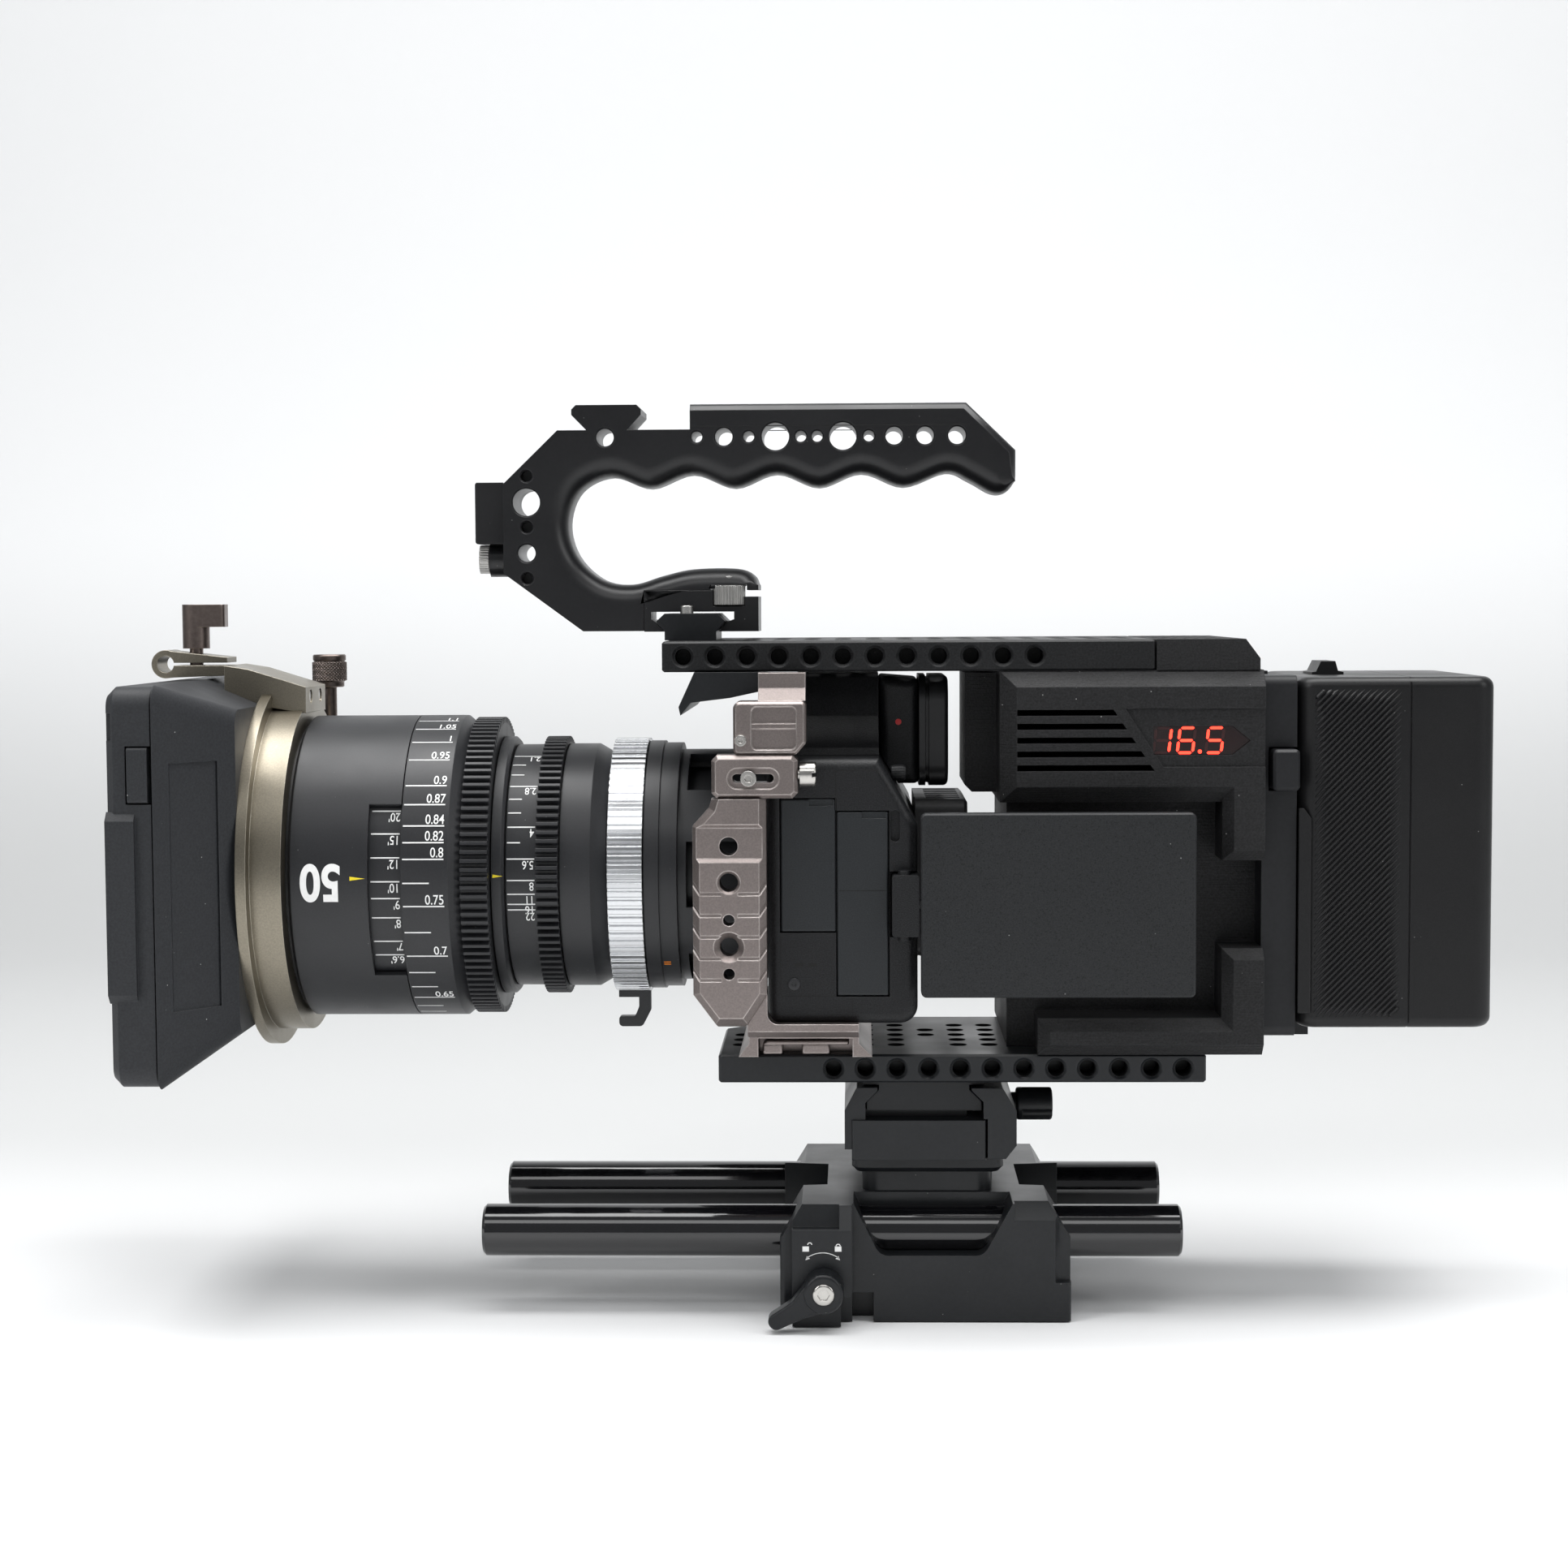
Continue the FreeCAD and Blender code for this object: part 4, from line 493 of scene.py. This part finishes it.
def iris_scale():
    thick, left, middle, right = 0.6, -119.6, -115.8, -111.6
    text_x, below, below_last = -111.8, 2.6, 3.2
    stops = (("2.1", 66.9), ("2.8", 44.1), ("4", 22.6), ("5.6", 7.8), ("8", -2.0), ("11", -8.4),
             ("16", -13.2), ("22", -15.9))
    bm = bmesh.new()
    for words, angle in stops:
        add_line(bm, left, right, angle, thick, DIAL_R)
        shift = below_last if words == "22" else below
        add_text(bm, words, text_x, angle - shift, 3.5, DIAL_R, flip=True, align="LEFT", bold=0.02)
    for angle in (58.9, 51.5, 36.8, 29.6, 15.3):
        add_line(bm, left, middle, angle, thick, DIAL_R)
    piece("iris_stop_marks", bm, ENAMEL, "iris", smooth=False)


def fixed_lens_marks():
    """Focal length, the two yellow index marks and the adapter's orange mark."""
    bm = bmesh.new()
    add_text(bm, "50", -171.6, -0.5, 14.6, BARREL_R, flip=True, bold=0.42)
    piece("focal_length_number", bm, ENAMEL, "rig", smooth=False)

    bm = bmesh.new()
    for x, radius, length in ((-163.2, BARREL_R, 4.4), (-123.4, INDEX_R, 3.0)):
        corners = [(x, 1.1), (x, -0.4), (x + length, 0.35)]
        low = [bm.verts.new(lens_point(u, v, radius - 0.02)) for u, v in corners]
        high = [bm.verts.new(lens_point(u, v, radius + INK)) for u, v in corners]
        bm.faces.new(low)
        bm.faces.new(high)
        bridge(bm, low, high)
    piece("index_marks", bm, YELLOW, "rig", smooth=False)

    bm = bmesh.new()
    for way in (-1, 1):
        add_wrapped_quad(bm, -75.4, -73.4, -47.0 + way * 0.4, -47.0 + way * 1.2, ADAPTER_R)
    piece("adapter_mark", bm, ORANGE, "rig", smooth=False)


# ------------------------------------------------------------------- handle

# Holes as (X, Z, radius, depth): a row under the cover, then the column at the front.
HANDLE_HOLES = [(x, 253.8, WIDE_THREAD_R, THROUGH) for x in (-42.6, -22.9)]
HANDLE_HOLES += [(x, 253.8, THREAD_R, THROUGH) for x in (-92.5, -57.7, -7.9, 1.1, 10.4)]
HANDLE_HOLES += [(x, 253.8, PIN_R, THROUGH) for x in (-65.6, -50.4, -35.2, -30.4, -15.3)]
HANDLE_HOLES += [(-115.8, 235.1, WIDE_THREAD_R, THROUGH), (-115.8, 220.2, THREAD_R, THROUGH)]
HANDLE_HOLES += [(-115.8, z, PIN_R, BLIND) for z in (242.7, 227.8, 212.8)]


def smooth_path(points, per_span):
    """Catmull-Rom curve through points."""
    path = []
    padded = [points[0]] + points + [points[-1]]
    for a, b, c, d in zip(padded, padded[1:], padded[2:], padded[3:]):
        for k in range(per_span):
            t = k / per_span
            path.append(tuple(0.5 * (2 * q + (r - p) * t + (2 * p - 5 * q + 4 * r - s) * t * t
                                     + (3 * q - p - 3 * r + s) * t ** 3) for p, q, r, s in zip(a, b, c, d)))
    path.append(points[-1])
    return path


def finger_path():
    """Side outline of the handle's finger grooves and hook, from the tail round to the foot."""
    grooves = [(27.4, 240.4), (24.9, 237.4), (20.6, 237.1), (13.8, 240.8)]
    for crest in (-5.2, -30.0, -54.8, -79.6):
        grooves += [(crest + 12.4, 243.2), (crest, 239.2)]
    grooves += [(-91.0, 242.6), (-100.4, 238.4), (-103.9, 229.0), (-101.4, 219.4), (-94.0, 212.4),
                (-85.0, 210.9), (-76.0, 213.4), (-67.0, 215.3), (-54.0, 215.4), (-49.2, 213.4),
                (-47.8, 210.6)]
    return smooth_path(grooves, 6)


def handle_rings(bm):
    """Side outlines of the handle across its width; the finger side is rounded, the cover chamfered."""
    round_r, steps = 6.0, 7
    fingers = finger_path()
    outer = [(-47.8, 209.1), (-51.2, 209.1), (-51.2, 210.7), (-61.8, 210.7), (-61.8, 209.1), (-81.5, 209.1),
             (-81.5, 197.2), (-99.4, 197.2), (-122.7, 214.3), (-122.7, 240.3), (-106.5, 256.0),
             (-98.0, 256.0), (-102.3, 260.4), (-102.3, 262.0), (-101.0, 263.3), (-83.2, 263.3),
             (-81.9, 262.0), (-81.9, 260.4), (-86.0, 256.0), (-67.6, 256.0)]
    cover = [((-67.6, 263.4), (0.0, -1.0)), ((13.1, 263.4), (-0.4, -1.0)), ((27.5, 249.5), (-1.0, -0.4)),
             ((27.5, 242.0), (-0.6, 0.0))]
    count = len(fingers)
    rounded = []
    for i, (x, z) in enumerate(fingers):
        before, after = fingers[max(i - 2, 0)], fingers[min(i + 2, count - 1)]
        run = Vector((after[0] - before[0], after[1] - before[1])).normalized()
        share = max(0.0, min(1.0, i / 12, (count - 1 - i) / 10))
        rounded.append((x, z, run.y, -run.x, share))

    levels = []
    for k in range(steps, -1, -1):
        turn = math.radians(90 * k / steps)
        levels.append((-HANDLE_HALF + round_r * (1 - math.sin(turn)), round_r * (1 - math.cos(turn))))
    levels += [(-y, inset) for y, inset in reversed(levels)]
    rings = []
    for y, inset in levels:
        ring = [bm.verts.new((x + nx * inset * share, y, z + nz * inset * share))
                for x, z, nx, nz, share in rounded]
        ring += [bm.verts.new((x, y, z)) for x, z in outer]
        slant = max(0.0, COVER_CHAMFER - (HANDLE_HALF - abs(y)))
        ring += [bm.verts.new((x + nx * slant, y, z + nz * slant)) for (x, z), (nx, nz) in cover]
        rings.append(ring)
    return rings


def handle_hole_rims(bm):
    """Walls of the holes with a small countersink; gives the rims on each side of the handle."""
    mouth, count = 0.45, 36
    rims = {-1: [], 1: []}
    for x, z, r, depth in HANDLE_HOLES:
        walls = [(-HANDLE_HALF, r + mouth), (-HANDLE_HALF + 0.5, r), (-HANDLE_HALF + depth - 0.5, r)]
        if depth == THROUGH:
            walls.append((HANDLE_HALF, r + mouth))
        loops = [[bm.verts.new((x + u, y, z + v)) for u, v in circle(radius, count)] for y, radius in walls]
        for low, high in zip(loops, loops[1:]):
            bridge(bm, low, high)
        rims[-1].append(loops[0])
        if depth == THROUGH:
            rims[1].append(loops[-1])
        else:
            bm.faces.new(loops[-1])
    return rims


def handle():
    """Top handle with a rounded finger side, in place of the plainer CAD solid."""
    bm = bmesh.new()
    rings = handle_rings(bm)
    for low, high in zip(rings, rings[1:]):
        bridge(bm, low, high)
    rims = handle_hole_rims(bm)
    bm.edges.ensure_lookup_table()
    for side, outline in ((-1, rings[0]), (1, rings[-1])):
        edges = []
        for loop in [outline] + rims[side]:
            for i in range(len(loop)):
                pair = (loop[i - 1], loop[i])
                edges.append(bm.edges.get(pair) or bm.edges.new(pair))
        bmesh.ops.triangle_fill(bm, edges=edges, use_beauty=True)
    body = piece("handle_grip", bm, LOOKS["handle_black"], "handle")
    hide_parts("handle_body")

    bm = bmesh.new()
    for side, face in ((-1, "-y"), (1, "+y")):
        add_prism(bm, box_outline(80.6, 0.22), Vector((-27.2, side * HANDLE_HALF, 256.9)), SEAM_LIFT, face)
    piece("handle_cover_seam", bm, SEAM, "handle", smooth=False)


# ------------------------------------------------------------- camera details

def on_face(y):
    """Base point for details drawn in X and Z on a flat face at y."""
    return Vector((0, y, 0))


def seam_lines(bm, runs, width):
    """Hairline gaps of the camera's covers, each from one point to another in X and Z."""
    half = width / 2
    for (x0, z0), (x1, z1) in runs:
        if abs(x1 - x0) > abs(z1 - z0):
            outline = [(x0, z0 - half), (x1, z1 - half), (x1, z1 + half), (x0, z0 + half)]
        else:
            outline = [(x0 - half, z0), (x0 + half, z0), (x1 + half, z1), (x1 - half, z1)]
        add_prism(bm, outline, on_face(CAMERA_FACE_Y), SEAM_LIFT, "-y")


def slot_outline(x, z):
    """Small slot with cut corners, centred on x and z."""
    half_x, half_z, corner = 1.2, 0.5, (0.3, 0.25)
    inner_x, inner_z = half_x - corner[0], half_z - corner[1]
    return [(x - half_x, z - inner_z), (x - inner_x, z - half_z), (x + inner_x, z - half_z),
            (x + half_x, z - inner_z), (x + half_x, z + inner_z), (x + inner_x, z + half_z),
            (x - inner_x, z + half_z), (x - half_x, z + inner_z)]


def cover_seams():
    face = on_face(CAMERA_FACE_Y)
    lower_front = [((-40.8, 112.4), (-40.8, 94.8)), ((-40.8, 94.8), (-25.2, 94.8))]
    top_cover = [((-25.1, 147.2), (-25.1, 158.4)), ((-25.1, 158.4), (-13.6, 158.4)),
                 ((-10.5, 154.0), (-10.5, 147.2))]
    below_doors = [((-20.6, 94.4), (-20.6, 90.2))]
    top_corner = [(-13.6, 158.27), (-10.63, 154.0), (-10.37, 154.0), (-13.5, 158.53)]
    rear_door_middle = [((-24.6, 124.6), (-10.6, 124.6))]
    bm = bmesh.new()
    seam_lines(bm, lower_front + top_cover + below_doors, 0.26)
    add_prism(bm, top_corner, face, SEAM_LIFT, "-y")
    seam_lines(bm, rear_door_middle, 0.22)
    for x in (-35.6, -31.8):
        add_prism(bm, slot_outline(x, 103.65), face, SEAM_LIFT, "-y")
    piece("cover_seams", bm, SEAM, "rig", smooth=False)


def menu_dial():
    """Small fluted wheel behind the top cover."""
    def fluted(i, j, radius):
        return radius - (0.18 if i % 2 and 1 <= j <= 2 else 0.0)

    profile = [(2.1, 0.0), (2.3, 1.4), (2.3, 3.4), (1.9, 4.1), (0.4, 4.2)]
    bm = bmesh.new()
    add_lathe(bm, profile, Vector((-9.4, -38.0, 157.0)), "+x", count=40, ripple=fluted)
    piece("menu_dial", bm, LOOKS["camera_paint"], "rig")


def camera_details():
    cover_seams()

    bm = bmesh.new()
    add_screw(bm, Vector((-37.0, CAMERA_FACE_Y + 0.02, 98.2)), "-y", 1.7, 0.45, 0.7)
    piece("cover_screw", bm, LOOKS["lens_black"], "rig")

    menu_dial()

    bm = bmesh.new()
    add_lathe(bm, [(0.9, 0.0), (0.9, 0.05), (0.3, 0.06)], Vector((-7.0, -16.98, 170.5)), "-y", count=24)
    piece("eyepiece_mark", bm, RED, "rig", smooth=False)

    bm = bmesh.new()
    add_prism(bm, box_outline(64.6, 43.2), Vector((38.5, -51.28, 120.8)), 0.35, "+y")
    piece("screen_glass", bm, GLASS_BLACK, "screen", edge=0.15)


# -------------------------------------------------------- power and battery

def seven_segments(bm, x, shape, lit):
    """One slanted digit; shape names the lit segments, a to g in the usual order."""
    width, height, bar, slant, middle_z = 4.3, 7.0, 0.78, 0.12, 166.05
    half_w, half_h = width / 2, height / 2
    spots = {"a": (0, half_h, True), "g": (0, 0, True), "d": (0, -half_h, True),
             "f": (-half_w, half_h / 2, False), "b": (half_w, half_h / 2, False),
             "e": (-half_w, -half_h / 2, False), "c": (half_w, -half_h / 2, False)}
    for name, (u, v, level) in spots.items():
        if (name in shape) != lit:
            continue
        length = (width if level else half_h) - 0.55
        tip = bar / 2
        outline = [(-length / 2, 0), (-length / 2 + tip, -tip), (length / 2 - tip, -tip), (length / 2, 0),
                   (length / 2 - tip, tip), (-length / 2 + tip, tip)]
        if not level:
            outline = [(-b, a) for a, b in outline]
        placed = [(u + a + slant * (v + b), v + b) for a, b in outline]
        add_prism(bm, placed, Vector((x, DISPLAY_FACE_Y, middle_z)), 0.06 if lit else 0.04, "-y")


def readout():
    digits = ((66.9, "bc"), (73.6, "acdefg"), (81.6, "acdfg"))
    bm = bmesh.new()
    for x, shape in digits:
        seven_segments(bm, x, shape, True)
    add_prism(bm, circle(0.55, 16), Vector((77.4, DISPLAY_FACE_Y, 162.9)), 0.06, "-y")
    piece("display_digits", bm, LIT, "rig", smooth=False)
    bm = bmesh.new()
    for x, shape in digits:
        seven_segments(bm, x, shape, False)
    piece("display_dark_segments", bm, UNLIT, "rig", smooth=False)


def rib_swell(share, length):
    """How far a rib has risen at a share of its length; both ends taper out."""
    from_end = max(0.0, min(share, 1 - share))
    if length < 8:
        return min(1.0, 3.2 * math.sqrt(from_end))
    return math.sqrt(min(1.0, length * from_end / 2.2))


def add_rib(bm, side, start, stop, offset):
    """Rib at 45 degrees on the battery's side, along z = x + offset."""
    width, height, steps = 1.3, 0.62, 8
    across = [(-0.5, -0.06), (-0.3, 0.55), (-0.1, 0.95), (0.1, 0.95), (0.3, 0.55), (0.5, -0.06)]
    rings = []
    for k in range(steps + 1):
        swell = rib_swell(k / steps, stop - start)
        x = start + (stop - start) * k / steps
        z = x + offset
        ring = []
        for u, h in across:
            shift = u * width * max(swell, 0.25) * math.sqrt(0.5)
            lift = BATTERY_HALF + (h * height * swell if h > 0 else h)
            ring.append(bm.verts.new((x - shift, side * lift, z + shift)))
        rings.append(ring)
    for low, high in zip(rings, rings[1:]):
        bridge(bm, low, high)
    bm.faces.new(rings[0])
    bm.faces.new(rings[-1])


def battery_ribs():
    """Slanted grip ribs that fill a panel on both sides of the battery."""
    x0, x1, z0, z1 = 110.6, 134.6, 87.0, 180.0
    pitch, shortest = 1.86, 1.2
    bm = bmesh.new()
    for side in (-1, 1):
        offset = z0 - x1 + 1.0
        while offset < z1 - x0 - 1.0:
            start, stop = max(x0, z0 - offset), min(x1, z1 - offset)
            if stop - start >= shortest:
                add_rib(bm, side, start, stop, offset)
            offset += pitch
    piece("battery_ribs", bm, LOOKS["battery_plastic"], "battery")


def battery_panel():
    outline = [(107.0, 88.0), (109.6, 88.0), (109.6, 143.5), (107.4, 146.5), (105.9, 146.5), (105.9, 88.0)]
    mirrored = [(-u, v) for u, v in outline]
    bm = bmesh.new()
    for side, shape, face in ((-1, outline, "-y"), (1, mirrored, "+y")):
        add_prism(bm, shape, on_face(side * (BATTERY_HALF - 0.4)), 0.9, face)
    piece("battery_side_panels", bm, LOOKS["battery_plastic"], "battery", edge=0.25)


# ------------------------------------------------------------------ hardware

def lever_screw():
    bm = bmesh.new()
    add_screw(bm, Vector((-29.0, -56.95, 11.3)), "-y", 3.0, 0.9, 1.7)
    piece("lever_screw", bm, LOOKS["stainless"], "base_lever")


def add_padlock(bm, x, opened):
    """Padlock with its body centred on x; an opened one has its shackle up and aside."""
    body_z, shackle_z, outer, inner = 22.4, 23.1, 0.72, 0.44
    aside, up = (1.15, 0.5) if opened else (0.0, 0.1)
    add_prism(bm, [(x + u, body_z + v) for u, v in box_outline(1.9, 1.5)], on_face(CLAMP_FACE_Y), 0.04, "-y")
    turns = [math.radians(a) for a in range(0, 181, 20)]
    shackle = [(outer * math.cos(turn), outer * math.sin(turn)) for turn in turns]
    shackle += [(inner * math.cos(turn), inner * math.sin(turn)) for turn in reversed(turns)]
    placed = [(x + aside + u, shackle_z + up + v) for u, v in shackle]
    add_prism(bm, placed, on_face(CLAMP_FACE_Y), 0.04, "-y")


def lock_symbols():
    """Open and closed padlocks over a two-headed arc, above the clamp lever."""
    middle, top, radius, half_line, half_angle, steps = -29.3, 21.3, 7.6, 0.11, 38.0, 16
    face = on_face(CLAMP_FACE_Y)
    edges = []
    for r in (radius + half_line, radius - half_line):
        turns = [math.radians(90 + half_angle * (2 * k / steps - 1)) for k in range(steps + 1)]
        edges.append([(middle + r * math.cos(turn), top - radius + r * math.sin(turn)) for turn in turns])
    outer, inner = edges
    bm = bmesh.new()
    for i in range(steps):
        add_prism(bm, [outer[i], outer[i + 1], inner[i + 1], inner[i]], face, 0.04, "-y")
    tip_z = top - radius + radius * math.cos(math.radians(half_angle)) - 0.5
    for side in (-1, 1):
        tip_x = middle + side * 4.9
        head = [(tip_x, tip_z), (tip_x - side * 0.4, tip_z + 1.2), (tip_x - side * 1.3, tip_z + 0.4)]
        add_prism(bm, head, face, 0.04, "-y")
    add_padlock(bm, -34.1, True)
    add_padlock(bm, -24.9, False)
    piece("lock_symbols", bm, ENAMEL, "rig", smooth=False)


def stored_key():
    """Flat key held in the slot of the cage foot: a bar with two grips below it."""
    bar = [(-46.4, 79.6), (-21.6, 79.6), (-21.6, 80.9), (-45.0, 80.9)]
    bm = bmesh.new()
    add_prism(bm, bar, on_face(-36.5), 5.6, "-y")
    for x0, x1 in ((-46.2, -40.6), (-35.0, -27.2)):
        add_prism(bm, [(x0, 76.7), (x1, 76.7), (x1, 79.7), (x0, 79.7)], on_face(-36.0), 4.6, "-y")
    piece("stored_key", bm, LOOKS["titanium_anodised"], "rig", edge=0.5)


def add_thread(bm, x, z, start, way):
    """Closed sleeve with a helical thread in its bore, along Y from start; way is its direction."""
    pitch, crest, root, outside, depth, turns, per_pitch = 1.27, 2.26, 2.5, 2.6, 8.6, 24, 4
    levels = int(depth / pitch * per_pitch)
    rings = []
    for k in range(levels + 1):
        along = k / levels * depth
        ring = []
        for i, (u, v) in enumerate(circle(1.0, turns)):
            share = (along / pitch + i / turns) % 1.0
            r = crest + (root - crest) * abs(2 * share - 1)
            ring.append(bm.verts.new((x + r * u, start + way * along, z + r * v)))
        rings.append(ring)
    for along in (depth, 0.0):
        y = start + way * along
        rings.append([bm.verts.new((x + u, y, z + v)) for u, v in circle(outside, turns)])
    rings.append(rings[0])
    for low, high in zip(rings, rings[1:]):
        bridge(bm, low, high)


def plate_threads():
    """Screw threads inside the plates' edge holes, on the near and the far edge."""
    mouth = 0.9
    rows = (("upper_threads", -68.3, 190.15, -40.0, 40.0), ("lower_threads", -26.1, 72.45, -40.0, 31.0))
    for name, first, z, near, far in rows:
        bm = bmesh.new()
        for start, way in ((near + mouth, 1), (far - mouth, -1)):
            for i in range(HOLES_PER_ROW):
                add_thread(bm, first + i * HOLE_PITCH, z, start, way)
        piece(name, bm, LOOKS["plate_black"], "rig")


def knurled_screw():
    """Round knob with a diamond knurl, on its long stem."""
    bm = bmesh.new()
    count, rows, starts, knurl_depth = 120, 22, 30, 0.55
    base = Vector((-186.5, 50.0, 139.9))
    profile = [(2.2, 0.1), (2.2, 39.4), (4.3, 39.5), (4.6, 39.8), (4.6, 41.2), (5.2, 41.5)]
    start = len(profile)
    profile += [(5.45, 41.7 + 5.6 * k / (rows - 1)) for k in range(rows)]
    stop = len(profile)
    profile += [(5.1, 47.5), (4.7, 47.7), (5.1, 47.9), (5.2, 48.3), (5.2, 49.4), (4.9, 49.8), (0.6, 49.85)]

    def diamond(i, j, radius):
        if not start <= j < stop:
            return radius
        turn = i / count * starts
        rise = (j - start) / (rows - 1) * 6.0
        a = abs((turn + rise) % 1.0 - 0.5)
        b = abs((turn - rise) % 1.0 - 0.5)
        return radius - knurl_depth * max(0.0, 1 - 4 * min(a, b))

    add_lathe(bm, profile, base, "+z", count=count, ripple=diamond)
    knob = piece("ring_screw_knurled", bm, LOOKS["gunmetal"], "ring_screw")
    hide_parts("ring_thumbscrew")


# --------------------------------------------------------------------- stage

def backdrop():
    """Paper sweep: floor, curved cove and wall, with painted shade that makes it slightly darker low behind
    the rig.
    """
    cove_start, cove, steps = 0.75, 0.55, 12
    profile = [(-3.0, -0.0004), (cove_start, -0.0004)]
    for k in range(1, steps + 1):
        turn = math.radians(90 * k / steps)
        profile.append((cove_start + cove * math.sin(turn), cove * (1 - math.cos(turn))))
    profile.append((cove_start + cove, 4.0))
    bm = bmesh.new()
    rows = [[bm.verts.new((x, y, z)) for y, z in profile] for x in (-5.0, 5.0)]
    for i in range(len(profile) - 1):
        bm.faces.new((rows[0][i], rows[1][i], rows[1][i + 1], rows[0][i + 1]))
    mesh = bpy.data.meshes.new("studio_floor")
    bm.to_mesh(mesh)
    bm.free()
    for polygon in mesh.polygons:
        polygon.use_smooth = True

    g = Graph("studio_paper")
    split = g.add("ShaderNodeSeparateXYZ")
    g.link(g.place, split.inputs["Vector"])
    # Painted shade: the paper turns grey behind the rig and low down near the cove, where less light falls.
    behind = g.ranged(split.outputs["Y"], -0.12, 0.25, 0.0, 1.0)
    low = g.ranged(split.outputs["Z"], 0.0, 0.28, 1.0, 0.0)
    for ramp in (behind, low):
        ramp.node.interpolation_type = "SMOOTHSTEP"
    pale = g.mixed(g.noise(3.0), (0.82, 0.825, 0.83), (0.84, 0.845, 0.85))
    g.link(g.mixed(g.product(behind, low), pale, (0.51, 0.515, 0.515)), g.shader.inputs["Base Color"])
    g.shader.inputs["Roughness"].default_value = 0.8
    mesh.materials.append(g.material)
    floor = bpy.data.objects.new("studio_floor", mesh)
    bpy.context.scene.collection.objects.link(floor)


def lights():
    """Soft boxes as (name, place, target, width, height, watts), and a dim cool world."""
    bpy.context.scene.view_settings.view_transform = "Standard"
    world = bpy.data.worlds.new("studio")
    world.use_nodes = True
    sky = world.node_tree.nodes["Background"]
    sky.inputs["Color"].default_value = (0.95, 0.975, 1.0, 1.0)
    sky.inputs["Strength"].default_value = 0.3
    bpy.context.scene.world = world

    lamps = (("overhead", (0.0, -0.05, 1.2), (0.0, 0.0, 0.12), 1.3, 0.7, 19.0),
             ("front_left", (-1.3, -0.9, 1.0), (-0.05, 0.0, 0.14), 0.5, 1.0, 8.0),
             ("front_right", (1.4, -0.8, 0.9), (0.05, 0.0, 0.14), 0.5, 1.0, 6.0),
             ("floor_wash", (0.0, -1.4, 1.5), (0.0, -0.3, 0.0), 1.2, 0.5, 5.0),
             ("backdrop", (0.0, 0.3, 1.7), (0.0, 1.25, 0.45), 2.4, 0.5, 8.0))
    for name, place, target, width, height, power in lamps:
        light = bpy.data.lights.new(name, "AREA")
        light.shape = "RECTANGLE"
        light.size = width
        light.size_y = height
        light.energy = power
        lamp = bpy.data.objects.new(name, light)
        lamp.location = place
        lamp.rotation_euler = (Vector(target) - Vector(place)).to_track_quat("-Z", "Y").to_euler()
        bpy.context.scene.collection.objects.link(lamp)


def camera():
    forward = Vector((-0.02699, 0.99740, -0.06680)).normalized()
    level = forward.cross(Vector((0, 0, 1))).normalized()
    upright = level.cross(forward)
    roll = math.radians(0.3)
    right = level * math.cos(roll) - upright * math.sin(roll)
    upward = level * math.sin(roll) + upright * math.cos(roll)
    lens = bpy.data.cameras.new("camera")
    lens.lens = 61.8
    lens.sensor_width = 36.0
    lens.clip_start = 0.01
    eye = bpy.data.objects.new("camera", lens)
    turn = Matrix((right, upward, -forward)).transposed().to_4x4()
    eye.matrix_world = Matrix.Translation((-0.0192, -0.8017, 0.205)) @ turn
    bpy.context.scene.collection.objects.link(eye)
    bpy.context.scene.camera = eye


dress_cad()
focus_scales()
iris_scale()
fixed_lens_marks()
handle()
camera_details()
readout()
battery_ribs()
battery_panel()
lever_screw()
lock_symbols()
knurled_screw()
stored_key()
plate_threads()
backdrop()
lights()
camera()
bpy.context.view_layer.update()
